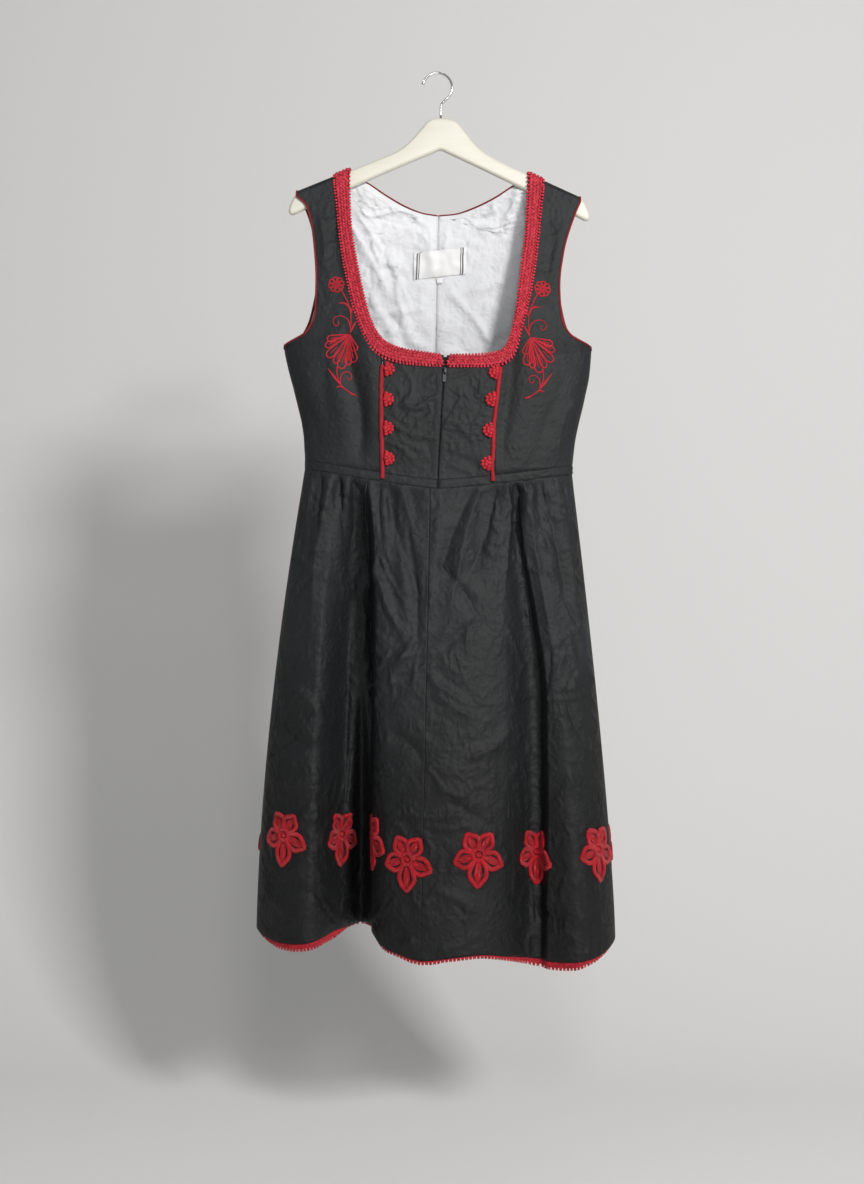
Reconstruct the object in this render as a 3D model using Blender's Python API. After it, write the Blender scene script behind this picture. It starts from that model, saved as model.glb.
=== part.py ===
"""A sleeveless folk dress hung on a wooden hanger: cloth panels, trims, zip, labels, hanger and hook.

Metres. +X is the right-hand side as one looks at the front, -Y is the front, +Z is up, and the origin is the
inner top of the hanger's hook. Heights are given as drops below that point. Left and right are as one looks at
the front, and SIDES holds -1 for the left and 1 for the right.
"""

import math
from bisect import bisect_right

import bmesh
import bpy
from mathutils import Vector
from mathutils.geometry import delaunay_2d_cdt

for old in list(bpy.data.objects):
    bpy.data.objects.remove(old, do_unlink=True)

# Driving dimensions
CLOTH = 0.0015
LINING = 0.0010
SEAM = 0.0003
WAIST_SEAM = 0.0005
SKIRT_SEAM = 0.0008
BAND_PROUD = 0.0005
SIDES = ((-1, "left"), (1, "right"))
FRONT, BACK = -1, 1
SQUARENESS = 2.4
ROUND = 2 / SQUARENESS
SHOULDER_WRAP = 0.0085
SHOULDER_IN = 0.1316
SHOULDER_DROP = 0.1436
SHOULDER_SLOPE = 0.4316
WRAP_STEPS = 4
SETTLE = 0.090
UNDERARM = 0.68
WAIST_SIDE, WAIST_BAND = 0.5865, 0.0125
WAIST_DIP = {FRONT: 0.0275, BACK: 0.0080}
STEP = 1e-4
SEAM_TURN = 35.0
SHARP_TURN = 35.0
LINING_CLEAR = 0.12

# Half outlines of the body, its middle line and its depths, by the drop below the hook
# drop, left side, centre front, right side, front depth, back depth
BODY = (
    (0.150, -0.2360, 0.0020, 0.2360, 0.0120, 0.0150),
    (0.200, -0.2350, 0.0035, 0.2360, 0.0150, 0.0265),
    (0.250, -0.2330, 0.0055, 0.2350, 0.0205, 0.0300),
    (0.311, -0.2300, 0.0085, 0.2330, 0.0345, 0.0320),
    (0.360, -0.2270, 0.0115, 0.2310, 0.0440, 0.0345),
    (0.408, -0.2230, 0.0135, 0.2300, 0.0505, 0.0360),
    (0.440, -0.2160, 0.0140, 0.2280, 0.0530, 0.0365),
    (0.472, -0.2068, 0.0130, 0.2222, 0.0545, 0.0360),
    (0.542, -0.1906, 0.0105, 0.2085, 0.0550, 0.0345),
    (0.586, -0.1883, 0.0085, 0.2054, 0.0540, 0.0335),
    (0.640, -0.1890, 0.0070, 0.2060, 0.0540, 0.0335),
)
# Outer edges of the front and back pieces down to the underarm, where the side seam takes over
# share down the piece, left x, left drop, right x, right drop
FRONT_ARMHOLE = (
    (0.00, -0.2076, 0.1849, 0.2076, 0.1849),
    (0.08, -0.1928, 0.1990, 0.2009, 0.2010),
    (0.28, -0.1791, 0.2599, 0.1837, 0.2610),
    (0.45, -0.1744, 0.3198, 0.1782, 0.3125),
    (0.56, -0.1749, 0.3596, 0.1820, 0.3608),
    (0.62, -0.1864, 0.3879, 0.1947, 0.3843),
    (0.68, -0.2240, 0.4086, 0.2310, 0.4015),
)
BACK_ARMHOLE = (
    (0.00, -0.2076, 0.1849, 0.2076, 0.1849),
    (0.10, -0.1990, 0.2010, 0.2030, 0.2010),
    (0.28, -0.1910, 0.2560, 0.1940, 0.2560),
    (0.45, -0.1880, 0.3150, 0.1915, 0.3120),
    (0.56, -0.1915, 0.3600, 0.1960, 0.3580),
    (0.62, -0.2010, 0.3890, 0.2060, 0.3850),
    (0.68, -0.2240, 0.4086, 0.2310, 0.4015),
)
# Inner edges: the neck down to its corner, where the front piping's seam takes over
# share down the piece, left x, left drop, right x, right drop
FRONT_NECK = (
    (0.00, -0.1316, 0.1521, 0.1316, 0.1521),
    (0.08, -0.1319, 0.1700, 0.1314, 0.1660),
    (0.28, -0.1270, 0.2339, 0.1290, 0.2300),
    (0.45, -0.1117, 0.3110, 0.1215, 0.3080),
    (0.56, -0.0985, 0.3600, 0.1145, 0.3600),
    (0.62, -0.0865, 0.3880, 0.1075, 0.3940),
    (0.66, -0.0765, 0.4015, 0.1000, 0.4110),
)
# The back neck, which runs in to the centre back seam
# share down the piece, left x, left drop, right x, right drop
BACK_NECK = (
    (0.00, -0.1316, 0.1521, 0.1316, 0.1521),
    (0.07, -0.1107, 0.1590, 0.1146, 0.1590),
    (0.16, -0.0790, 0.1770, 0.0850, 0.1770),
    (0.25, -0.0478, 0.1920, 0.0520, 0.1920),
    (0.32, -0.0200, 0.2010, 0.0240, 0.2010),
    (0.38, 0.0000, 0.2035, 0.0000, 0.2035),
)
# The seam under each front piping, and the zip's line
# drop, left seam x, zip x, right seam x
FRONT_LINES = (
    (0.4000, -0.0756, 0.0150, 0.1010),
    (0.4280, -0.0756, 0.0147, 0.0976),
    (0.4763, -0.0760, 0.0120, 0.0923),
    (0.5313, -0.0750, 0.0100, 0.0885),
    (0.6030, -0.0721, 0.0076, 0.0870),
    (0.6300, -0.0721, 0.0070, 0.0870),
)
# The neck's edge between the corner and the zip
# share from the zip to the corner, left drop, right drop
NECK_FRONT = (
    (0.00, 0.4218, 0.4218),
    (0.60, 0.4150, 0.4205),
    (0.85, 0.4085, 0.4165),
    (1.00, 0.4020, 0.4115),
)
# The skirt's folds, from the left side seam round the front, the right side and the back: the angle where a
# fold leaves the waist, its place and drop at the hem, how quickly it springs out, and the lace below the hem
# waist degrees, hem x, hem y, hem drop, spring, lace
FOLDS = (
    (-90.0, -0.2475, 0.0150, 1.2660, 1.80, 0.001),
    (-74.0, -0.2330, -0.0120, 1.2740, 1.80, 0.004),
    (-60.0, -0.2010, -0.0450, 1.2760, 1.70, 0.010),
    (-49.0, -0.1640, -0.0610, 1.2715, 1.60, 0.011),
    (-39.0, -0.1270, -0.0350, 1.2610, 1.50, 0.011),
    (-34.0, -0.1110, 0.0180, 1.2625, 1.40, 0.003),
    (-31.0, -0.0940, 0.0440, 1.2615, 1.40, 0.003),
    (-28.5, -0.0790, 0.0160, 1.2590, 1.40, 0.003),
    (-25.5, -0.0730, -0.0460, 1.2590, 1.40, 0.002),
    (-21.0, -0.0580, -0.0760, 1.2705, 1.40, 0.004),
    (-14.0, -0.0360, -0.0930, 1.2770, 1.40, 0.005),
    (-2.0, -0.0030, -0.1080, 1.2825, 1.40, 0.006),
    (9.0, 0.0440, -0.1150, 1.2760, 1.40, 0.005),
    (18.0, 0.0850, -0.1060, 1.2730, 1.40, 0.005),
    (26.0, 0.1240, -0.0850, 1.2800, 1.40, 0.006),
    (34.0, 0.1700, -0.0600, 1.2900, 1.35, 0.011),
    (46.0, 0.2230, -0.0820, 1.2860, 1.30, 0.011),
    (62.0, 0.2590, -0.0580, 1.2790, 1.25, 0.004),
    (90.0, 0.2825, -0.0100, 1.2640, 1.25, 0.001),
    (108.0, 0.2680, 0.0380, 1.2640, 1.30, 0.004),
    (124.0, 0.2180, 0.0760, 1.2680, 1.40, 0.006),
    (138.0, 0.1640, 0.0620, 1.2620, 1.40, 0.006),
    (152.0, 0.1050, 0.0990, 1.2660, 1.40, 0.006),
    (168.0, 0.0450, 0.0860, 1.2630, 1.40, 0.006),
    (180.0, 0.0000, 0.1080, 1.2670, 1.40, 0.006),
    (194.0, -0.0560, 0.1190, 1.2680, 1.40, 0.006),
    (210.0, -0.1120, 0.0980, 1.2640, 1.50, 0.006),
    (226.0, -0.1640, 0.0790, 1.2620, 1.60, 0.006),
    (242.0, -0.2110, 0.0810, 1.2660, 1.70, 0.006),
    (256.0, -0.2400, 0.0520, 1.2660, 1.80, 0.003),
)
SKIRT_SHARES = (0.0, 0.05, 0.14, 0.27, 0.42, 0.58, 0.74, 0.88, 1.0)
HEM_STEP = 0.0165
TURN_COST = 0.017
PLACES_PER_ROW = 40
# Small gathers pressed into the waist: waist degrees, depth, half width in degrees, reach down the skirt
GATHERS = (
    (-62.0, 0.0030, 4.0, 0.28),
    (-44.0, 0.0035, 3.5, 0.40),
    (-15.5, 0.0040, 3.0, 0.45),
    (-8.0, 0.0030, 3.0, 0.30),
    (15.0, 0.0040, 3.5, 0.40),
    (30.0, 0.0035, 3.5, 0.50),
    (42.0, 0.0030, 3.5, 0.35),
    (64.0, 0.0030, 4.0, 0.30),
    (112.0, 0.0030, 4.0, 0.35),
    (130.0, 0.0030, 4.0, 0.45),
    (158.0, 0.0030, 4.0, 0.30),
    (202.0, 0.0030, 4.0, 0.35),
    (234.0, 0.0030, 4.0, 0.45),
    (252.0, 0.0030, 4.0, 0.30),
)

# Hem flowers, laid on the cloth a small gap off it. Each petal runs from the notch before it to its tip and on to
# the notch after it
FLOWER_THICK, FLOWER_LIFT = 0.0012, 0.0006
PETAL_WAIST = 0.60
FLOWER_SPARE, FLOWER_NEAR = 0.004, 0.020
HEM_EDGE = 0.9995
# petal direction in degrees, length, half width, direction of the notch after it, distance of that notch
PETALS = (
    (57.0, 0.0375, 0.0110, 87.0, 0.0240),
    (121.0, 0.0375, 0.0110, 161.0, 0.0185),
    (196.0, 0.0385, 0.0120, 236.0, 0.0265),
    (269.0, 0.0490, 0.0135, 304.0, 0.0250),
    (337.0, 0.0430, 0.0120, 376.0, 0.0200),
)
# place round the skirt in rows of FOLDS, drop
FLOWERS = (
    (1.82, 1.1200),
    (4.07, 1.1235),
    (7.98, 1.1206),
    (10.41, 1.1420),
    (12.75, 1.1326),
    (14.92, 1.1381),
    (17.04, 1.1299),
    (18.60, 1.1330),
    (20.20, 1.1300),
    (22.00, 1.1350),
    (23.75, 1.1300),
    (25.35, 1.1350),
    (27.05, 1.1300),
    (28.85, 1.1330),
)

# Trims
BRAID_LIFT, BRAID_THICK = 0.0008, 0.0022
BRAID_INNER, BRAID_OUTER, BRAID_CLEAR = 0.1320, 0.1530, 0.004
PIPING_HALF, PIPING_HIGH, PIPING_FOOT, PIPING_LIFT = 0.0032, 0.0034, 0.0006, 0.0009
PIPING_TOP, PIPING_END, PIPING_TURN = 0.4405, 0.0008, 27.0
EDGE_RADIUS = 0.0013
BUTTON_TALL, BUTTON_WIDE, BUTTON_HIGH, BUTTON_LIFT = 0.0100, 0.0118, 0.0050, 0.0005
BUTTON_FOOT, BUTTON_CLEAR, BUTTON_POLE = 0.0006, 0.0004, 0.04
BUTTON_DROPS = {-1: (0.4437, 0.4872, 0.5290, 0.5721), 1: (0.4447, 0.4840, 0.5287, 0.5762)}
LACE_THICK, LACE_LAP, LACE_SCALLOP = 0.0010, 0.0080, 0.0016
# Neck braid: inner edge and outer edge, from the shoulder to the zip
# inner x, inner drop, outer x, outer drop
BRAID = {
    -1: (
        (-0.1319, 0.1675, -0.1525, 0.1700),
        (-0.1300, 0.2000, -0.1480, 0.2020),
        (-0.1270, 0.2339, -0.1440, 0.2360),
        (-0.1200, 0.2720, -0.1378, 0.2760),
        (-0.1117, 0.3110, -0.1290, 0.3160),
        (-0.1040, 0.3420, -0.1210, 0.3480),
        (-0.0956, 0.3691, -0.1115, 0.3760),
        (-0.0865, 0.3880, -0.1010, 0.3980),
        (-0.0765, 0.4010, -0.0880, 0.4170),
        (-0.0640, 0.4090, -0.0700, 0.4280),
        (-0.0468, 0.4145, -0.0470, 0.4340),
        (-0.0180, 0.4187, -0.0180, 0.4365),
        (0.0090, 0.4222, 0.0125, 0.4376),
    ),
    1: (
        (0.1314, 0.1650, 0.1530, 0.1680),
        (0.1303, 0.2000, 0.1500, 0.2020),
        (0.1290, 0.2320, 0.1475, 0.2340),
        (0.1248, 0.2717, 0.1438, 0.2730),
        (0.1205, 0.3120, 0.1380, 0.3150),
        (0.1170, 0.3480, 0.1315, 0.3480),
        (0.1125, 0.3760, 0.1240, 0.3780),
        (0.1074, 0.3945, 0.1190, 0.4020),
        (0.1000, 0.4100, 0.1100, 0.4240),
        (0.0880, 0.4165, 0.0920, 0.4340),
        (0.0587, 0.4204, 0.0590, 0.4370),
        (0.0400, 0.4212, 0.0400, 0.4372),
        (0.0206, 0.4222, 0.0170, 0.4376),
    ),
}

# Zip, in the parting between the centre panels
ZIP_PART, ZIP_WIDE, ZIP_THICK, ZIP_SINK = 0.0022, 0.0034, 0.0011, 0.0002
SLIDER_WIDE, SLIDER_TALL, SLIDER_THICK, SLIDER_LIFT = 0.0056, 0.0090, 0.0024, 0.0006
SLIDER_DROP = 0.4450
ZIP_TOP, ZIP_END = 0.4240, 0.0004
BRIDGE_WIDE, BRIDGE_BAR, BRIDGE_FOOT, BRIDGE_SINK = 0.0016, 0.0008, 0.0010, 0.0005
WINDOW_TALL, WINDOW_DEEP = 0.0044, 0.0019
PULL_THICK, PULL_WIDE, PULL_LONG = 0.0009, 0.0050, 0.0150
PULL_ARM, PULL_WINDOW, PULL_CHAMFER, PULL_CORNER = 0.0009, 0.0042, 0.0004, 0.0015

# Labels on the lining: half width, half height, thickness
LABEL = (0.0039, 0.2735, 0.0392, 0.0200)
SIZE_TAB = (0.0039, 0.2990, 0.0048, 0.0045)
LABEL_THICK, LABEL_LIFT = 0.0006, 0.0006

# Hanger
WOOD_HALF, WOOD_ROUND = 0.0060, 0.0055
WOOD_SEAT = 0.0005
HOOK_WIRE, HOOK_BALL = 0.0017, 0.0026
HOOK_CENTRE_X, HOOK_CENTRE_DROP, HOOK_RADIUS = -0.0050, 0.0194, 0.0217
HOOK_TIP_DEGREES, HOOK_END_DEGREES = 166.0, -52.0
SHAFT_X, SHAFT_SINK, SHAFT_CLEAR = 0.0009, 0.0140, 0.0004
# The hanger hangs a little to the right of the hook
WOOD_SHIFT = 0.0015
# the hanger's upper edge near the middle: left x, right x, drop
HUMP = (
    (0.0000, 0.0000, 0.0648),
    (0.0120, 0.0130, 0.0662),
    (0.0205, 0.0235, 0.0708),
    (0.0300, 0.0338, 0.0820),
    (0.0420, 0.0455, 0.0965),
    (0.0560, 0.0585, 0.1095),
    (0.0720, 0.0735, 0.1192),
)
SEAT_X = (0.100, 0.1316, 0.170, 0.2000)
# The arm's end below the shoulder, and back along the lower edge
# x, drop
TIP = (
    (0.2105, 0.1810),
    (0.2165, 0.1900),
    (0.2205, 0.1995),
    (0.2218, 0.2065),
    (0.2200, 0.2108),
    (0.2150, 0.2118),
    (0.2050, 0.2072),
    (0.1700, 0.1900),
)
LOWER_X = (0.130, 0.090, 0.045, 0.012)
LOWER_SAG, NOTCH_ROUND = 0.0012, 0.0006
NOTCH_DROP = 0.1120

MATERIALS = {
    "black cloth": ((0.026, 0.030, 0.032, 1), 0.75, 0.0),
    "red trim": ((0.50, 0.012, 0.030, 1), 0.60, 0.0),
    "dark red piping": ((0.26, 0.010, 0.020, 1), 0.60, 0.0),
    "white lining": ((0.72, 0.73, 0.75, 1), 0.80, 0.0),
    "white label": ((0.80, 0.80, 0.80, 1), 0.70, 0.0),
    "cream wood": ((0.80, 0.76, 0.66, 1), 0.45, 0.0),
    "chrome wire": ((0.80, 0.80, 0.80, 1), 0.15, 1.0),
    "black metal": ((0.020, 0.020, 0.022, 1), 0.35, 0.6),
}


def material(name):
    """The named finish, made once."""
    found = bpy.data.materials.get(name)
    if found:
        return found
    colour, rough, metal = MATERIALS[name]
    made = bpy.data.materials.new(name)
    made.use_nodes = True
    shader = made.node_tree.nodes["Principled BSDF"]
    shader.inputs["Base Color"].default_value = colour
    shader.inputs["Roughness"].default_value = rough
    shader.inputs["Metallic"].default_value = metal
    return made


def solid(name, finish, points, faces):
    """A closed mesh object with its faces turned outwards."""
    mesh = bpy.data.meshes.new(name)
    mesh.from_pydata([tuple(p) for p in points], [], faces)
    work = bmesh.new()
    work.from_mesh(mesh)
    bmesh.ops.recalc_face_normals(work, faces=work.faces)
    if work.calc_volume(signed=True) < 0:
        bmesh.ops.reverse_faces(work, faces=work.faces)
    work.to_mesh(mesh)
    work.free()
    mesh.shade_smooth()
    mesh.set_sharp_from_angle(angle=math.radians(SHARP_TURN))
    mesh.materials.append(material(finish))
    made = bpy.data.objects.new(name, mesh)
    bpy.context.scene.collection.objects.link(made)
    return made


def smooth(rows, at, column):
    """A column's value on a curve through the rows, by their first column, that never overshoots."""
    firsts = [row[0] for row in rows]
    if at <= firsts[0]:
        return rows[0][column]
    if at >= firsts[-1]:
        return rows[-1][column]
    k = bisect_right(firsts, at) - 1
    slopes = []
    for i in (k, k + 1):
        if i == 0 or i == len(rows) - 1:
            j = min(i, len(rows) - 2)
            slopes.append((rows[j + 1][column] - rows[j][column]) / (firsts[j + 1] - firsts[j]))
            continue
        before = (rows[i][column] - rows[i - 1][column]) / (firsts[i] - firsts[i - 1])
        after = (rows[i + 1][column] - rows[i][column]) / (firsts[i + 1] - firsts[i])
        slopes.append(0.0 if before * after <= 0 else 2 * before * after / (before + after))
    span = firsts[k + 1] - firsts[k]
    t = (at - firsts[k]) / span
    a, b = rows[k][column], rows[k + 1][column]
    return (
        a * (1 + 2 * t) * (1 - t) ** 2
        + slopes[0] * span * t * (1 - t) ** 2
        + b * t * t * (3 - 2 * t)
        + slopes[1] * span * t * t * (t - 1)
    )


def ease(t):
    """0 to 1 with level ends."""
    t = min(max(t, 0.0), 1.0)
    return t * t * (3 - 2 * t)


def mix(a, b, t):
    return a + (b - a) * t


def body_row(drop):
    """Left side, centre front, right side, front depth and back depth at a drop."""
    return [smooth(BODY, drop, column) for column in range(1, 6)]


def side_and_middle(side, face, drop):
    left, centre, right, _, _ = body_row(drop)
    return (left if side < 0 else right), (centre if face == FRONT else 0.0)


def ring(side, face, degrees, drop):
    """A point of the body's outline: x and how far out it lies, at degrees from the middle to the side."""
    edge, middle = side_and_middle(side, face, drop)
    depth = body_row(drop)[3 if face == FRONT else 4]
    across, out = math.sin(math.radians(degrees)), math.cos(math.radians(degrees))
    x = middle + (edge - middle) * math.copysign(abs(across) ** ROUND, across)
    return x, depth * math.copysign(abs(out) ** ROUND, out)


def degrees_at(side, face, x, drop):
    """The angle on the body's outline where x lies."""
    edge, middle = side_and_middle(side, face, drop)
    share = (x - middle) / (edge - middle)
    turn = math.degrees(math.asin(min(abs(share), 1.0) ** (1 / ROUND)))
    return math.copysign(turn, share)


def shoulder(x):
    """The drop of the shoulder line at x."""
    return SHOULDER_DROP + SHOULDER_SLOPE * (abs(x) - SHOULDER_IN)


def waist_low(side, face, degrees):
    """The drop of the band's lower seam, which dips towards the middle."""
    share = abs(math.sin(math.radians(degrees))) ** ROUND
    return WAIST_SIDE + WAIST_DIP[face] * (1 - share**1.3)


def settled(side, face, degrees, drop):
    """A cloth point that leaves the shoulder's wrap and settles on the body's outline."""
    x, out = ring(side, face, degrees, drop)
    below = drop - shoulder(x)
    out = mix(SHOULDER_WRAP, out, ease((below - SHOULDER_WRAP) / SETTLE))
    return Vector((x, face * (out + SEAM / 2), -drop))


def edge_place(rows, side, share):
    column = 1 if side < 0 else 3
    return smooth(rows, share, column), smooth(rows, share, column + 1)


def side_piece(side, face, neck, armhole, inner_line):
    """A function of (u, v) for a piece with a shoulder: u from its inner to its outer edge, v below 1 round
    the shoulder's wrap and then 1 plus the share down the piece."""

    def inner_edge(share):
        last = neck[-1][0]
        if share <= last:
            return edge_place(neck, side, share)
        top = edge_place(neck, side, last)[1]
        bottom = waist_low(side, face, 0 if face == BACK else SEAM_TURN) - WAIST_BAND - WAIST_SEAM
        drop = mix(top, bottom, (share - last) / (1 - last))
        return inner_line(drop), drop

    def outer_edge(share):
        if share < UNDERARM:
            x, drop = edge_place(armhole, side, share)
            return degrees_at(side, face, x, drop), drop
        top = edge_place(armhole, side, UNDERARM)[1]
        bottom = WAIST_SIDE - WAIST_BAND - WAIST_SEAM
        return 90.0, mix(top, bottom, (share - UNDERARM) / (1 - UNDERARM))

    def point(u, v):
        share = max(v - 1, 0.0)
        inner_x, inner_drop = inner_edge(share)
        outer_degrees, outer_drop = outer_edge(share)
        degrees = mix(degrees_at(side, face, inner_x, inner_drop), outer_degrees, u)
        drop = mix(inner_drop, outer_drop, u)
        if share >= 1:
            drop = waist_low(side, face, degrees) - WAIST_BAND - WAIST_SEAM
        if v >= 1:
            return settled(side, face, degrees, drop)
        x, _ = ring(side, face, degrees, drop)
        turn = math.radians(90 * v)
        out = SHOULDER_WRAP * math.sin(turn)
        drop = shoulder(x) + SHOULDER_WRAP * (1 - math.cos(turn))
        return Vector((x, face * (out + SEAM / 2), -drop))

    return point


def centre_piece(side):
    """A function of (u, v) for a front centre panel: u from the zip to the piping's seam, v down."""

    def point(u, v):
        top = smooth(NECK_FRONT, u, 1 if side < 0 else 2)
        bottom = waist_low(side, FRONT, SEAM_TURN * u) - WAIST_BAND - WAIST_SEAM
        drop = mix(top, bottom, v)
        zip_x = smooth(FRONT_LINES, drop, 2) + side * ZIP_PART
        seam_x = smooth(FRONT_LINES, drop, 1 if side < 0 else 3) - side * SEAM / 2
        x = mix(zip_x, seam_x, u)
        return settled(side, FRONT, degrees_at(side, FRONT, x, drop), drop)

    return point


def outward(point, u, v, turn):
    """The unit normal of a surface of (u, v), turned outwards."""
    along = point(u + STEP, v) - point(u - STEP, v)
    down = point(u, v + STEP) - point(u, v - STEP)
    return turn * along.cross(down).normalized()


def grid(point, us, vs, turn, lift, face=0):
    """Points of a surface moved out by lift, in rows. With a face they stay on its side of the side seam."""
    rows = []
    for v in vs:
        row = []
        for u in us:
            at = point(u, v) + outward(point, u, v, turn) * lift
            if face and face * at.y < SEAM / 2:
                at.y = face * SEAM / 2
            row.append(at)
        rows.append(row)
    return rows


def wall(name, finish, outer, inner):
    """A closed wall between two grids of the same size."""
    rows, columns = len(outer), len(outer[0])
    points = [p for sheet in (outer, inner) for row in sheet for p in row]

    def at(sheet, r, c):
        return (sheet * rows + r) * columns + c

    faces = []
    for r in range(rows - 1):
        for c in range(columns - 1):
            faces.append((at(0, r, c), at(0, r, c + 1), at(0, r + 1, c + 1), at(0, r + 1, c)))
            faces.append((at(1, r, c), at(1, r + 1, c), at(1, r + 1, c + 1), at(1, r, c + 1)))
    rim = [(0, c) for c in range(columns)] + [(r, columns - 1) for r in range(1, rows)]
    rim += [(rows - 1, c) for c in range(columns - 2, -1, -1)] + [(r, 0) for r in range(rows - 2, 0, -1)]
    for here, after in zip(rim, rim[1:] + rim[:1]):
        faces.append((at(0, *here), at(1, *here), at(1, *after), at(0, *after)))
    return solid(name, finish, points, faces)


def tube(name, finish, path, radii, sides, closed=False, guides=None):
    """A tube of given radii along a path. Guides are the directions its first corner keeps to."""
    count = len(path)
    points = []
    for i, here in enumerate(path):
        before = path[i - 1] if i or closed else here
        after = path[(i + 1) % count] if i < count - 1 or closed else here
        tangent = (after - before).normalized()
        guide = guides[i] if guides else Vector((0, 1, 0))
        across = (guide - tangent * guide.dot(tangent)).normalized()
        up = tangent.cross(across)
        for k in range(sides):
            turn = 2 * math.pi * k / sides
            points.append(here + (across * math.cos(turn) + up * math.sin(turn)) * radii[i])
    faces = []
    for i in range(count if closed else count - 1):
        j = (i + 1) % count
        for k in range(sides):
            m = (k + 1) % sides
            faces.append((i * sides + k, i * sides + m, j * sides + m, j * sides + k))
    if not closed:
        faces.append(tuple(range(sides)))
        faces.append(tuple(range((count - 1) * sides, count * sides)))
    return solid(name, finish, points, faces)


def box_points(low, high):
    xs, ys, zs = zip(low, high)
    points = [Vector((x, y, z)) for z in zs for y in ys for x in xs]
    faces = [(0, 1, 3, 2), (4, 5, 7, 6), (0, 1, 5, 4), (2, 3, 7, 6), (0, 2, 6, 4), (1, 3, 7, 5)]
    return points, faces


def prism(outline, low, high):
    """An outline of (y, z) pairs pushed from x low to x high."""
    count = len(outline)
    points = [Vector((x, y, z)) for x in (low, high) for y, z in outline]
    faces = [tuple(range(count)), tuple(range(count, 2 * count))]
    for k in range(count):
        m = (k + 1) % count
        faces.append((k, m, count + m, count + k))
    return points, faces


def cut(piece, tool_name, points, faces, operation):
    """Joins or cuts a piece with a hidden guide solid."""
    guide = solid(tool_name, "black metal", points, faces)
    guide.hide_render = True
    guide.display_type = "WIRE"
    made = piece.modifiers.new(tool_name, "BOOLEAN")
    made.operation = operation
    made.object = guide


# Bodice
SIDE_U = {
    FRONT: (0.0, 0.16, 0.32, 0.48, 0.64, 0.78, 0.90, 1.0),
    BACK: (0.0, 0.15, 0.30, 0.45, 0.60, 0.75, 0.89, 1.0),
}
WRAP_V = [k / WRAP_STEPS for k in range(WRAP_STEPS)]
PIECE_SHARES = (0.0, 0.08, 0.18, 0.28, 0.38, 0.45, 0.51, 0.56, 0.60, 0.64, 0.68, 0.76, 0.84, 0.92, 1.0)
SIDE_V = WRAP_V + [1 + share for share in PIECE_SHARES]
CENTRE_U = (0.0, 0.25, 0.5, 0.75, 1.0)
CENTRE_V = (0.0, 0.057, 0.175, 0.293, 0.53, 0.765, 1.0)
LINING_V = [1 + share for share in PIECE_SHARES if share > 0.1]


def front_seam_x(side):
    column = 1 if side < 0 else 3
    return lambda drop: smooth(FRONT_LINES, drop, column) + side * SEAM / 2


def back_seam_x(side):
    return lambda drop: side * SEAM / 2


side_fronts, backs, centres = {}, {}, {}
for side, word in SIDES:
    side_fronts[side] = side_piece(side, FRONT, FRONT_NECK, FRONT_ARMHOLE, front_seam_x(side))
    backs[side] = side_piece(side, BACK, BACK_NECK, BACK_ARMHOLE, back_seam_x(side))
    centres[side] = centre_piece(side)
    for name, point, us, vs, face in (
        ("bodice_side_front", side_fronts[side], SIDE_U[FRONT], SIDE_V, FRONT),
        ("bodice_back", backs[side], SIDE_U[BACK], SIDE_V, BACK),
        ("bodice_centre", centres[side], CENTRE_U, CENTRE_V, FRONT),
    ):
        turn = side * face
        outer = grid(point, us, vs, turn, 0.0, face)
        inner = grid(point, us, vs, turn, -CLOTH, face)
        wall(f"{name}_{word}", "black cloth", outer, inner)
    behind = grid(backs[side], SIDE_U[BACK], LINING_V, side * BACK, -(CLOTH + SEAM), BACK)
    inside = grid(backs[side], SIDE_U[BACK], LINING_V, side * BACK, -(CLOTH + SEAM + LINING), BACK)
    for sheet in (behind, inside):
        for row in sheet:
            row[0].x = side * SEAM / 2
            row[-1] = row[-1] + (row[-2] - row[-1]) * LINING_CLEAR
    wall(f"lining_back_{word}", "white lining", behind, inside)


# Waistband, in two front halves and a back
def band_point(side, face):
    def point(u, v):
        drop = waist_low(side, face, u) - WAIST_BAND * (1 - v)
        x, out = ring(side, face, u, drop)
        return Vector((x, face * (out + SEAM / 2), -drop))

    return point


BAND_STEPS = 12
for side, word in SIDES:
    low = waist_low(side, FRONT, 0) - WAIST_BAND / 2
    start = degrees_at(side, FRONT, smooth(FRONT_LINES, low, 2) + side * ZIP_PART, low)
    us = [mix(start, 90.0, k / BAND_STEPS) for k in range(BAND_STEPS + 1)]
    point = band_point(side, FRONT)
    outer = grid(point, us, (0.0, 1.0), side * FRONT, BAND_PROUD, FRONT)
    inner = grid(point, us, (0.0, 1.0), side * FRONT, -CLOTH, FRONT)
    wall(f"waistband_front_{word}", "black cloth", outer, inner)


def back_band(u, v):
    """The back band, from the left side seam at -90 to the right one at 90."""
    return band_point(-1 if u < 0 else 1, BACK)(abs(u), v)


us = [mix(-90.0, 90.0, k / (2 * BAND_STEPS)) for k in range(2 * BAND_STEPS + 1)]
outer = grid(back_band, us, (0.0, 1.0), 1, BAND_PROUD, BACK)
inner = grid(back_band, us, (0.0, 1.0), 1, -CLOTH, BACK)
wall("waistband_back", "black cloth", outer, inner)


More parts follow.
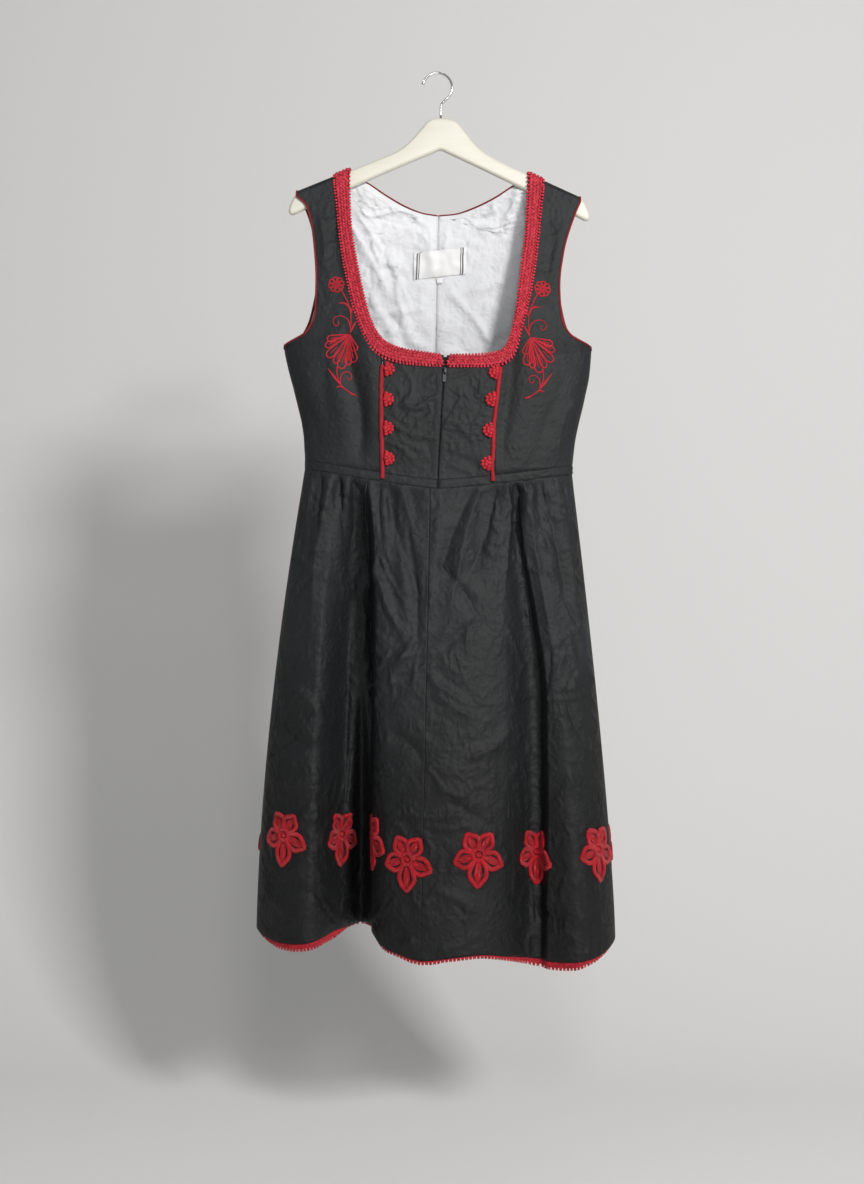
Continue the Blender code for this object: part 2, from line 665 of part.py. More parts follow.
# Skirt
def fold_value(place, column):
    """A column of FOLDS at a place counted in its rows, on a smooth closed curve."""
    count = len(FOLDS)
    k = math.floor(place)
    rows = [FOLDS[(k + step) % count] for step in (-1, 0, 1, 2)]
    values = [row[column] for row in rows]
    if column == 0:
        values = [value + 360 * ((k + step) // count) for value, step in zip(values, (-1, 0, 1, 2))]
    spans = [max(math.dist(a[1:3], b[1:3]), 0.01) ** 0.5 for a, b in zip(rows, rows[1:])]
    t = place - k

    def slope(i):
        left = (values[i] - values[i - 1]) / spans[i - 1]
        right = (values[i + 1] - values[i]) / spans[i]
        return (left * spans[i] + right * spans[i - 1]) / (spans[i - 1] + spans[i])

    a, b = values[1], values[2]
    return (
        a * (1 + 2 * t) * (1 - t) ** 2
        + slope(1) * spans[1] * t * (1 - t) ** 2
        + b * t * t * (3 - 2 * t)
        + slope(2) * spans[1] * t * t * (t - 1)
    )


def waist_place(degrees):
    """Side, face and angle from the middle for an angle that runs right round the body."""
    degrees = (degrees + 180) % 360 - 180
    if abs(degrees) <= 90:
        return (-1 if degrees < 0 else 1), FRONT, abs(degrees)
    return (-1 if degrees < 0 else 1), BACK, 180 - abs(degrees)


def skirt(place, share):
    """A point of the skirt: place round it in rows of FOLDS, share down it."""
    degrees = fold_value(place, 0)
    side, face, turn = waist_place(degrees)
    top = waist_low(side, face, turn) + SKIRT_SEAM
    x, out = ring(side, face, turn, WAIST_SIDE)
    press = 0.0
    for at, depth, wide, reach in GATHERS:
        away = ((degrees - at + 180) % 360 - 180) / wide
        press += depth * math.exp(-away * away) * ease(1 - share / reach) * ease(share / 0.03)
    scale = 1 - press / max(out, 0.03)
    sprung = 1 - max(1 - share, 0.0) ** fold_value(place, 4)
    y = face * (out + SEAM / 2) * scale
    drop = mix(top, fold_value(place, 3), share)
    return Vector((mix(x, fold_value(place, 1), sprung), mix(y, fold_value(place, 2), sprung), -drop))


def skirt_places(start, stop):
    """Places from start to stop, closer together where the hem turns."""
    count = int(round((stop - start) * PLACES_PER_ROW))
    places = [start + (stop - start) * i / count for i in range(count + 1)]
    spots = [skirt(place, 1.0).xy for place in places]
    cost = [0.0]
    for i in range(1, len(spots)):
        step = spots[i] - spots[i - 1]
        turn = 0.0
        if i > 1:
            turn = abs(step.angle_signed(spots[i - 1] - spots[i - 2], 0.0))
        cost.append(cost[-1] + step.length / HEM_STEP + turn * TURN_COST / HEM_STEP)
    columns = max(int(math.ceil(cost[-1])), 8)
    found = []
    for k in range(columns + 1):
        target = cost[-1] * k / columns
        i = min(max(bisect_right(cost, target), 1), len(cost) - 1)
        t = (target - cost[i - 1]) / (cost[i] - cost[i - 1])
        found.append(mix(places[i - 1], places[i], t))
    return found


RIGHT_SEAM = FOLDS.index(next(row for row in FOLDS if row[0] == 90.0))
BACK_SEAM = FOLDS.index(next(row for row in FOLDS if row[0] == 180.0))
FRONT_SEAM = 11.0
SEAM_PLACE = 0.004
SKIRT_PARTS = (
    ("front_left", 0.0, FRONT_SEAM),
    ("front_right", FRONT_SEAM, float(RIGHT_SEAM)),
    ("back_right", float(RIGHT_SEAM), float(BACK_SEAM)),
    ("back_left", float(BACK_SEAM), float(len(FOLDS))),
)
all_places = []
for word, start, stop in SKIRT_PARTS:
    places = skirt_places(start + SEAM_PLACE, stop - SEAM_PLACE)
    all_places += places
    outer = grid(skirt, places, SKIRT_SHARES, -1, 0.0)
    inner = grid(skirt, places, SKIRT_SHARES, -1, -CLOTH)
    wall(f"skirt_{word}", "black cloth", outer, inner)

    behind, inside = [], []
    for level in range(2):
        for sheet, lift in ((behind, CLOTH + SEAM), (inside, CLOTH + SEAM + LACE_THICK)):
            row = []
            for k, place in enumerate(places):
                length = fold_value(place, 3) - WAIST_SIDE
                scallop = LACE_SCALLOP * (k % 2) if 0 < k < len(places) - 1 else 0.0
                show = max(fold_value(place, 5), 0.001) - scallop
                share = 1 + (-LACE_LAP, max(show, 0.0006))[level] / length
                row.append(skirt(place, share) - outward(skirt, place, min(share, HEM_EDGE), -1) * lift)
            sheet.append(row)
    wall(f"lace_{word}", "red trim", behind, inside)


# Flowers: cut flat, then laid on the skirt's own facets
def flower_outline():
    """The flower's flat outline: a shoulder, the tip, a shoulder and a notch for each petal."""
    outline = []
    for degrees, length, half, notch_degrees, notch_reach in PETALS:
        lean = Vector((math.cos(math.radians(degrees)), math.sin(math.radians(degrees))))
        left = Vector((-lean.y, lean.x))
        outline.append(lean * length * PETAL_WAIST - left * half)
        outline.append(lean * length)
        outline.append(lean * length * PETAL_WAIST + left * half)
        notch = math.radians(notch_degrees)
        outline.append(Vector((math.cos(notch), math.sin(notch))) * notch_reach)
    return outline


def flower(name, middle, flower_drop):
    drop_share = (flower_drop - WAIST_SIDE) / (fold_value(middle, 3) - WAIST_SIDE)
    row = max(r for r, share in enumerate(SKIRT_SHARES) if share <= drop_share)
    line = [skirt(place, drop_share) for place in all_places]
    round_total = sum((b - a).length for a, b in zip(line, line[1:] + line[:1]))
    flat = [0.0]
    for a, b in zip(line, line[1:]):
        flat.append(flat[-1] + (b - a).length)
    k = max(i for i, place in enumerate(all_places) if place <= middle)
    here = flat[k] + (skirt(middle, drop_share) - line[k]).length
    reach = max(row[1] for row in PETALS) + FLOWER_SPARE
    near = []
    for lap in (-1, 0, 1):
        for i, spot in enumerate(flat):
            away = spot + lap * round_total - here
            near.append((away, i, all_places[i]))
    near = [item for item in near if -reach - FLOWER_NEAR < item[0] < reach + FLOWER_NEAR]
    heights = []
    for share in SKIRT_SHARES[row - 1 : row + 3]:
        heights.append(((drop_share - share) * (fold_value(middle, 3) - WAIST_SIDE), share))
    heights.sort()

    outline = flower_outline()
    points = [p.copy() for p in outline]
    edges = []
    for away, _, _ in near:
        if abs(away) < reach:
            edges.append((len(points), len(points) + 1))
            points += [Vector((away, -reach)), Vector((away, reach))]
    for height, _ in heights:
        if abs(height) < reach:
            edges.append((len(points), len(points) + 1))
            points += [Vector((-reach, height)), Vector((reach, height))]
    spots, _, faces, _, _, kinds = delaunay_2d_cdt(points, edges, [tuple(range(len(outline)))], 0, 1e-7)
    faces = [face for face, kind in zip(faces, kinds) if kind]
    used = sorted({i for face in faces for i in face})
    index = {old: new for new, old in enumerate(used)}

    def laid(spot, lift):
        c = max(i for i in range(len(near) - 1) if near[i][0] <= spot.x + 1e-9)
        r = max(i for i in range(len(heights) - 1) if heights[i][0] <= spot.y + 1e-9)
        across = (spot.x - near[c][0]) / (near[c + 1][0] - near[c][0])
        up = (spot.y - heights[r][0]) / (heights[r + 1][0] - heights[r][0])
        found = Vector()
        for i, share_x in ((c, 1 - across), (c + 1, across)):
            for j, share_y in ((r, 1 - up), (r + 1, up)):
                place, share = near[i][2], heights[j][1]
                out = outward(skirt, place, min(share, HEM_EDGE), -1)
                found += (skirt(place, share) + out * lift) * (share_x * share_y)
        return found

    count = len(used)
    made = [laid(spots[i], FLOWER_LIFT) for i in used] + [laid(spots[i], FLOWER_LIFT + FLOWER_THICK) for i in used]
    shell = []
    edge_uses = {}
    for face in faces:
        a, b, c = (index[i] for i in face)
        shell.append((a, b, c))
        shell.append((c + count, b + count, a + count))
        for pair in ((a, b), (b, c), (c, a)):
            edge_uses.setdefault(frozenset(pair), []).append(pair)
    for pairs in edge_uses.values():
        if len(pairs) == 1:
            a, b = pairs[0]
            shell.append((b, a, a + count, b + count))
    solid(name, "red trim", made, shell)


for number, (middle, flower_drop) in enumerate(FLOWERS, 1):
    flower(f"flower_{number:02d}", middle, flower_drop)


# Trims on the front
def front_at(side, x, drop):
    """A point of the front and its outward normal at x and a drop, round the shoulder's wrap too."""

    def spot(x, fall):
        if fall < 1:
            turn = math.radians(90 * fall)
            drop = shoulder(x) + SHOULDER_WRAP * (1 - math.cos(turn))
            return Vector((x, -SHOULDER_WRAP * math.sin(turn) - SEAM / 2, -drop))
        drop = shoulder(x) + SHOULDER_WRAP + (fall - 1) * SETTLE
        return settled(side, FRONT, degrees_at(side, FRONT, x, drop), drop)

    below = drop - shoulder(x)
    if below < SHOULDER_WRAP:
        fall = math.degrees(math.acos(1 - max(below, 0.0) / SHOULDER_WRAP)) / 90
    else:
        fall = 1 + (below - SHOULDER_WRAP) / SETTLE
    along = spot(x + STEP, fall) - spot(x - STEP, fall)
    down = spot(x, fall + STEP) - spot(x, fall - STEP)
    return spot(x, fall), down.cross(along).normalized()


def braid_rows(side):
    """Inner, middle and outer points with their normals, from the shoulder seam to the zip."""
    first = BRAID[side][0]
    stations = []
    for turn in (0.0, 30.0, 60.0, 90.0):
        fall = SHOULDER_WRAP * (1 - math.cos(math.radians(turn)))
        inner_x, outer_x = side * BRAID_INNER, side * BRAID_OUTER
        stations.append((inner_x, shoulder(inner_x) + fall, outer_x, shoulder(outer_x) + fall))
    stations += [row for row in BRAID[side] if row[1] > shoulder(first[0]) + SHOULDER_WRAP + BRAID_CLEAR]
    rows = []
    for inner_x, inner_drop, outer_x, outer_drop in stations:
        row = []
        for t in (0.0, 0.5, 1.0):
            row.append(front_at(side, mix(inner_x, outer_x, t), mix(inner_drop, outer_drop, t)))
        rows.append(row)
    return rows


for side, word in SIDES:
    rows = braid_rows(side)
    low = [[at + out * BRAID_LIFT for at, out in row] for row in rows]
    high = [[at + out * (BRAID_LIFT + BRAID_THICK) for at, out in row] for row in rows]
    wall(f"neck_braid_{word}", "red trim", high, low)

    seam = 1 if side < 0 else 3
    bottom = waist_low(side, FRONT, PIPING_TURN) - PIPING_END
    profile = ((-1.0, 0.0), (-0.72, 0.72), (0.0, 1.0), (0.72, 0.72), (1.0, 0.0))
    high, low = [], []
    for k in range(9):
        drop = mix(PIPING_TOP, bottom, k / 8)
        at, out = front_at(side, smooth(FRONT_LINES, drop, seam), drop)
        across = (Vector((1, 0, 0)) - out * out.x) * PIPING_HALF
        foot = at + out * PIPING_LIFT
        high.append([foot + across * a + out * (PIPING_FOOT + PIPING_HIGH * b) for a, b in profile])
        low.append([foot + across * a for a, _ in profile])
    wall(f"front_piping_{word}", "red trim", high, low)

    for number, drop in enumerate(BUTTON_DROPS[side], 1):
        high, low = [], []
        for j in range(4):
            reach = math.sin(math.radians(30 * j))
            high_row, low_row = [], []
            for k in range(7):
                turn = math.radians(180 * k / 6)
                spot = drop - BUTTON_TALL * math.cos(turn) * mix(BUTTON_POLE, 1.0, reach)
                edge = smooth(FRONT_LINES, spot, seam) - side * (PIPING_HALF + SEAM)
                at, out = front_at(side, edge - side * (BUTTON_CLEAR + BUTTON_WIDE * math.sin(turn) * reach), spot)
                rise = BUTTON_HIGH * math.sqrt(max(1 - (0.97 * reach) ** 2, 0.0))
                high_row.append(at + out * (BUTTON_LIFT + BUTTON_FOOT + rise))
                low_row.append(at + out * BUTTON_LIFT)
            high.append(high_row)
            low.append(low_row)
        wall(f"button_{word}_{number}", "red trim", high, low)


# Thin piped edges
def edge_run(point, u, vs, turn):
    """The points and the outward directions along an edge of a piece, at the piece's own stations."""
    spots = [point(u, v) for v in vs]
    outs = [outward(point, u, v, turn) for v in vs]
    return spots, outs


def beside(spots, outs, sign, closed):
    """The edge's points moved off it in the cloth's plane, for a round piping."""
    count = len(spots)
    moved = []
    for i, here in enumerate(spots):
        before = spots[i - 1] if i or closed else here
        after = spots[(i + 1) % count] if i < count - 1 or closed else here
        tangent = (after - before).normalized()
        moved.append(here + sign * tangent.cross(outs[i]).normalized() * (EDGE_RADIUS + SEAM))
    return moved


ARM_V = [v for v in SIDE_V if v <= 1 + UNDERARM + 1e-6]
NECK_V = [v for v in SIDE_V if v < 1 + BACK_NECK[-1][0]] + [1 + BACK_NECK[-1][0]]
for side, word in SIDES:
    front_spots, front_outs = edge_run(side_fronts[side], 1.0, ARM_V[::-1], side * FRONT)
    back_spots, back_outs = edge_run(backs[side], 1.0, ARM_V, side * BACK)
    spots = front_spots[:-1] + [(front_spots[-1] + back_spots[0]) / 2] + back_spots[1:-1]
    outs = front_outs[:-1] + [front_outs[-1]] + back_outs[1:-1]
    spots[0] = (front_spots[0] + back_spots[-1]) / 2
    path = beside(spots, outs, side, True)
    tube(f"armhole_piping_{word}", "dark red piping", path, [EDGE_RADIUS] * len(path), 6, True, outs)

left_spots, left_outs = edge_run(backs[-1], 0.0, NECK_V, -BACK)
right_spots, right_outs = edge_run(backs[1], 0.0, NECK_V, BACK)
spots = left_spots[:-1] + [(left_spots[-1] + right_spots[-1]) / 2] + right_spots[:-1][::-1]
outs = left_outs[:-1] + [left_outs[-1]] + right_outs[:-1][::-1]
path = beside(spots, outs, 1, False)
tube("back_neck_piping", "dark red piping", path, [EDGE_RADIUS] * len(path), 6, False, outs)


# Labels on the lining
def label(name, spec):
    middle, drop, half_wide, half_tall = spec
    lift = -(CLOTH + SEAM + LINING + LABEL_LIFT)
    near, far = [], []
    for j in range(3):
        near_row, far_row = [], []
        for k in range(7):
            x = middle + half_wide * (k / 3 - 1)
            z = drop + half_tall * (j - 1)
            side = -1 if x < 0 else 1
            at = settled(side, BACK, degrees_at(side, BACK, x, z), z)
            at_low = settled(side, BACK, degrees_at(side, BACK, x, z + 0.002), z + 0.002)
            slope = (at_low - at).normalized()
            out = Vector((1, 0, 0)).cross(slope).normalized()
            out = out if out.y > 0 else -out
            far_row.append(at + out * lift)
            near_row.append(at + out * (lift - LABEL_THICK))
        near.append(near_row)
        far.append(far_row)
    wall(name, "white label", near, far)


label("label", LABEL)
label("size_tab", SIZE_TAB)

# Zip
high, low = [], []
zip_bottom = waist_low(-1, FRONT, 0) - ZIP_END
for k in range(9):
    drop = mix(ZIP_TOP, zip_bottom, k / 8)
    middle = smooth(FRONT_LINES, drop, 2)
    at, _ = front_at(-1, middle, drop)
    out = Vector((0, -1, 0))
    ends = [at + Vector((across * ZIP_WIDE / 2, 0, 0)) for across in (-1, 1)]
    high.append([spot - out * ZIP_SINK for spot in ends])
    low.append([spot - out * (ZIP_SINK + ZIP_THICK) for spot in ends])
wall("zip_chain", "black metal", high, low)

slider_x = smooth(FRONT_LINES, SLIDER_DROP, 2)
cloth_y = front_at(-1, slider_x, SLIDER_DROP - SLIDER_TALL / 2)[0].y
lowest_y = front_at(-1, slider_x, SLIDER_DROP + SLIDER_TALL / 2)[0].y
body_back = min(cloth_y, lowest_y) - SLIDER_LIFT
body_front = body_back - SLIDER_THICK
middle_z = -SLIDER_DROP
points, faces = box_points(
    (slider_x - SLIDER_WIDE / 2, body_front, middle_z - SLIDER_TALL / 2),
    (slider_x + SLIDER_WIDE / 2, body_back, middle_z + SLIDER_TALL / 2),
)
slider = solid("zip_slider", "black metal", points, faces)
window_low, window_high = middle_z - WINDOW_TALL / 2, middle_z + WINDOW_TALL / 2
window_y = body_front - WINDOW_DEEP
bridge_y = window_y - BRIDGE_BAR
root_y = body_front + BRIDGE_SINK
bridge = (
    (root_y, window_high + BRIDGE_FOOT),
    (bridge_y, window_high + BRIDGE_FOOT),
    (bridge_y, window_low - BRIDGE_FOOT),
    (root_y, window_low - BRIDGE_FOOT),
    (root_y, window_low),
    (window_y, window_low),
    (window_y, window_high),
    (root_y, window_high),
)
points, faces = prism(bridge, slider_x - BRIDGE_WIDE / 2, slider_x + BRIDGE_WIDE / 2)
cut(slider, "bridge_guide", points, faces, "UNION")

# The pull tab is a flat frame with its top bar under the bridge, and its origin on that bar's axis
pull_y = body_front - WINDOW_DEEP / 2
pull_z = window_low + WINDOW_DEEP / 2
bar, wide, arm = PULL_THICK / 2, PULL_WIDE / 2, PULL_WIDE / 2 - PULL_ARM


def eight_corners(half, top, bottom, top_cut, bottom_cut):
    """A rectangle of (x, z) pairs with its corners cut."""
    return (
        (-half, top - top_cut),
        (-half + top_cut, top),
        (half - top_cut, top),
        (half, top - top_cut),
        (half, bottom + bottom_cut),
        (half - bottom_cut, bottom),
        (-half + bottom_cut, bottom),
        (-half, bottom + bottom_cut),
    )


outer = eight_corners(wide, bar, -PULL_LONG, PULL_CHAMFER, PULL_CORNER)
inner = eight_corners(arm, -bar, -PULL_WINDOW, PULL_CHAMFER, PULL_CHAMFER)
points = []
for y in (-bar, bar):
    for ring_points in (outer, inner):
        points += [Vector((x, y, z)) for x, z in ring_points]
faces = []
for k in range(8):
    m = (k + 1) % 8
    faces.append((k, m, 8 + m, 8 + k))
    faces.append((16 + k, 24 + k, 24 + m, 16 + m))
    faces.append((k, 16 + k, 16 + m, m))
    faces.append((8 + k, 8 + m, 24 + m, 24 + k))
pull = solid("zip_pull_tab", "black metal", points, faces)
pull.location = (slider_x, pull_y, pull_z)


# Hanger
def hanger_half(side):
    """Half of the hanger's outline in the X-Z plane, from the hump along the arm to its end and back below."""
    half = [Vector((side * row[0 if side < 0 else 1] + WOOD_SHIFT, -row[2])) for row in HUMP]
    for x in SEAT_X:
        half.append(Vector((side * x, -(SHOULDER_DROP + CLOTH + WOOD_SEAT + SHOULDER_SLOPE * (x - SHOULDER_IN)))))
    half += [Vector((side * x + WOOD_SHIFT, -drop)) for x, drop in TIP]
    last_x, last_drop = TIP[-1]
    for x in LOWER_X:
        t = (last_x - x) / last_x
        drop = mix(last_drop, NOTCH_DROP, t) - LOWER_SAG * math.sin(math.pi * t)
        half.append(Vector((side * x + WOOD_SHIFT, -drop)))
    return half


def hanger_outline():
    """The hanger's outline in the X-Z plane, clockwise from the middle of the hump to the right."""
    notch = Vector((WOOD_SHIFT, -NOTCH_DROP - NOTCH_ROUND))
    return hanger_half(1) + [notch] + hanger_half(-1)[:0:-1]


def inset(outline, by):
    """The outline moved inwards along its corner bisectors."""
    count = len(outline)
    moved = []
    for i, here in enumerate(outline):
        before, after = outline[i - 1], outline[(i + 1) % count]
        one = (here - before).normalized()
        two = (after - here).normalized()
        lean = (Vector((one.y, -one.x)) + Vector((two.y, -two.x))).normalized()
        stretch = 1 / max(lean.dot(Vector((one.y, -one.x))), 0.5)
        moved.append(here + lean * by * stretch)
    return moved


outline = hanger_outline()
points, faces = [], []
levels = []
for degrees in (0, 45, 90):
    turn = math.radians(degrees)
    levels.append((WOOD_HALF - WOOD_ROUND + WOOD_ROUND * math.cos(turn), WOOD_ROUND * (1 - math.sin(turn))))
levels = [(-y, by) for y, by in levels] + [(y, by) for y, by in reversed(levels)]
for y, by in levels:
    points += [Vector((p.x, y, p.y)) for p in inset(outline, by)]
count = len(outline)
for level in range(len(levels) - 1):
    for k in range(count):
        m = (k + 1) % count
        faces.append((level * count + k, level * count + m, (level + 1) * count + m, (level + 1) * count + k))
faces.append(tuple(range(count)))
faces.append(tuple(range((len(levels) - 1) * count, len(levels) * count)))
hanger = solid("hanger_body", "cream wood", points, faces)

hole = []
hole_radius = HOOK_WIRE + SHAFT_CLEAR
wood_top = HUMP[0][2]
for z in (-wood_top + 0.004, -wood_top - SHAFT_SINK - 0.001):
    for k in range(12):
        turn = 2 * math.pi * k / 12
        hole.append(Vector((SHAFT_X + hole_radius * math.cos(turn), hole_radius * math.sin(turn), z)))
sides = [(k, (k + 1) % 12, 12 + (k + 1) % 12, 12 + k) for k in range(12)]
cut(hanger, "hole_guide", hole, sides + [tuple(range(12)), tuple(range(12, 24))], "DIFFERENCE")

path, radii = [], []
ball = ((-3.0, 0.25), (-2.3, 0.80), (0.0, 1.0), (2.2, 0.78))
for away, share in ball:
    turn = math.radians(HOOK_TIP_DEGREES - away)
    path.append((turn, share * HOOK_BALL))
path = path + [(math.radians(d), HOOK_WIRE) for d in range(160, int(HOOK_END_DEGREES), -21)]
spots = []
for turn, radius in path:
    x = HOOK_CENTRE_X + HOOK_RADIUS * math.cos(turn)
    spots.append(Vector((x, 0, -HOOK_CENTRE_DROP + HOOK_RADIUS * math.sin(turn))))
    radii.append(radius)
for x, drop in ((0.0055, 0.0395), (0.0022, 0.0432), (SHAFT_X, 0.0480), (SHAFT_X, wood_top + SHAFT_SINK)):
    spots.append(Vector((x, 0, -drop)))
    radii.append(HOOK_WIRE)
tube("hanger_hook", "chrome wire", spots, radii, 8)
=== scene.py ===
"""The looks of a sleeveless folk dress on a wooden hanger: cloth with its creases, embroidery, braid and trims.

Metres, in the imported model's frame: +X is the right-hand side as one looks at the front, -Y is the front, and
drops are measured down from the inner top of the hook.
"""

import math
import random
from bisect import bisect_right

import bmesh
import bpy
import numpy as np
from mathutils import Matrix, Vector, noise
from mathutils.bvhtree import BVHTree


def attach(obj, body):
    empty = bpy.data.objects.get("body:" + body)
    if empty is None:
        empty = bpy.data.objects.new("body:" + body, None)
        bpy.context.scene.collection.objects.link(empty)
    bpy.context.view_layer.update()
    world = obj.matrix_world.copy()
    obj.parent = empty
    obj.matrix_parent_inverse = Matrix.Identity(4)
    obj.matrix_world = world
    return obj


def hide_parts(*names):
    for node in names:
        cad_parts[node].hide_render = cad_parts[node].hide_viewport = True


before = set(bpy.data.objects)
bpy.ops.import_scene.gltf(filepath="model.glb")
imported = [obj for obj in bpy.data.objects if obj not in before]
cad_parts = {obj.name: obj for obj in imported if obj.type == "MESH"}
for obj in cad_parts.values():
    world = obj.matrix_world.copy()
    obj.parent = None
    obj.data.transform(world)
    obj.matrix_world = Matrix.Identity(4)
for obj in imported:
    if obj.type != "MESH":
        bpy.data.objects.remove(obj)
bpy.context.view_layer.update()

CLOTH = 0.0015
LINING = 0.0010
SEAM = 0.0003
WAIST_SEAM = 0.0005
SKIRT_SEAM = 0.0008
BAND_PROUD = 0.0005
SIDES = ((-1, "left"), (1, "right"))
FRONT, BACK = -1, 1
SQUARENESS = 2.4
ROUND = 2 / SQUARENESS
SHOULDER_WRAP = 0.0085
SHOULDER_IN = 0.1316
SHOULDER_DROP = 0.1436
SHOULDER_SLOPE = 0.4316
WRAP_STEPS = 4
SETTLE = 0.090
UNDERARM = 0.68
WAIST_SIDE, WAIST_BAND = 0.5865, 0.0125
WAIST_DIP = {FRONT: 0.0275, BACK: 0.0080}
STEP = 1e-4
SEAM_TURN = 35.0
SHARP_TURN = 35.0
LINING_CLEAR = 0.12

# Half outlines of the body, its middle line and its depths, by the drop below the hook
# drop, left side, centre front, right side, front depth, back depth
BODY = (
    (0.150, -0.2360, 0.0020, 0.2360, 0.0120, 0.0150),
    (0.200, -0.2350, 0.0035, 0.2360, 0.0150, 0.0265),
    (0.250, -0.2330, 0.0055, 0.2350, 0.0205, 0.0300),
    (0.311, -0.2300, 0.0085, 0.2330, 0.0345, 0.0320),
    (0.360, -0.2270, 0.0115, 0.2310, 0.0440, 0.0345),
    (0.408, -0.2230, 0.0135, 0.2300, 0.0505, 0.0360),
    (0.440, -0.2160, 0.0140, 0.2280, 0.0530, 0.0365),
    (0.472, -0.2068, 0.0130, 0.2222, 0.0545, 0.0360),
    (0.542, -0.1906, 0.0105, 0.2085, 0.0550, 0.0345),
    (0.586, -0.1883, 0.0085, 0.2054, 0.0540, 0.0335),
    (0.640, -0.1890, 0.0070, 0.2060, 0.0540, 0.0335),
)
# Outer edges of the front and back pieces down to the underarm, where the side seam takes over
# share down the piece, left x, left drop, right x, right drop
FRONT_ARMHOLE = (
    (0.00, -0.2076, 0.1849, 0.2076, 0.1849),
    (0.08, -0.1928, 0.1990, 0.2009, 0.2010),
    (0.28, -0.1791, 0.2599, 0.1837, 0.2610),
    (0.45, -0.1744, 0.3198, 0.1782, 0.3125),
    (0.56, -0.1749, 0.3596, 0.1820, 0.3608),
    (0.62, -0.1864, 0.3879, 0.1947, 0.3843),
    (0.68, -0.2240, 0.4086, 0.2310, 0.4015),
)
BACK_ARMHOLE = (
    (0.00, -0.2076, 0.1849, 0.2076, 0.1849),
    (0.10, -0.1990, 0.2010, 0.2030, 0.2010),
    (0.28, -0.1910, 0.2560, 0.1940, 0.2560),
    (0.45, -0.1880, 0.3150, 0.1915, 0.3120),
    (0.56, -0.1915, 0.3600, 0.1960, 0.3580),
    (0.62, -0.2010, 0.3890, 0.2060, 0.3850),
    (0.68, -0.2240, 0.4086, 0.2310, 0.4015),
)
# Inner edges: the neck down to its corner, where the front piping's seam takes over
# share down the piece, left x, left drop, right x, right drop
FRONT_NECK = (
    (0.00, -0.1316, 0.1521, 0.1316, 0.1521),
    (0.08, -0.1319, 0.1700, 0.1314, 0.1660),
    (0.28, -0.1270, 0.2339, 0.1290, 0.2300),
    (0.45, -0.1117, 0.3110, 0.1215, 0.3080),
    (0.56, -0.0985, 0.3600, 0.1145, 0.3600),
    (0.62, -0.0865, 0.3880, 0.1075, 0.3940),
    (0.66, -0.0765, 0.4015, 0.1000, 0.4110),
)
# The back neck, which runs in to the centre back seam
# share down the piece, left x, left drop, right x, right drop
BACK_NECK = (
    (0.00, -0.1316, 0.1521, 0.1316, 0.1521),
    (0.07, -0.1107, 0.1590, 0.1146, 0.1590),
    (0.16, -0.0790, 0.1770, 0.0850, 0.1770),
    (0.25, -0.0478, 0.1920, 0.0520, 0.1920),
    (0.32, -0.0200, 0.2010, 0.0240, 0.2010),
    (0.38, 0.0000, 0.2035, 0.0000, 0.2035),
)
# The seam under each front piping, and the zip's line
# drop, left seam x, zip x, right seam x
FRONT_LINES = (
    (0.4000, -0.0756, 0.0150, 0.1010),
    (0.4280, -0.0756, 0.0147, 0.0976),
    (0.4763, -0.0760, 0.0120, 0.0923),
    (0.5313, -0.0750, 0.0100, 0.0885),
    (0.6030, -0.0721, 0.0076, 0.0870),
    (0.6300, -0.0721, 0.0070, 0.0870),
)
# The neck's edge between the corner and the zip
# share from the zip to the corner, left drop, right drop
NECK_FRONT = (
    (0.00, 0.4218, 0.4218),
    (0.60, 0.4150, 0.4205),
    (0.85, 0.4085, 0.4165),
    (1.00, 0.4020, 0.4115),
)
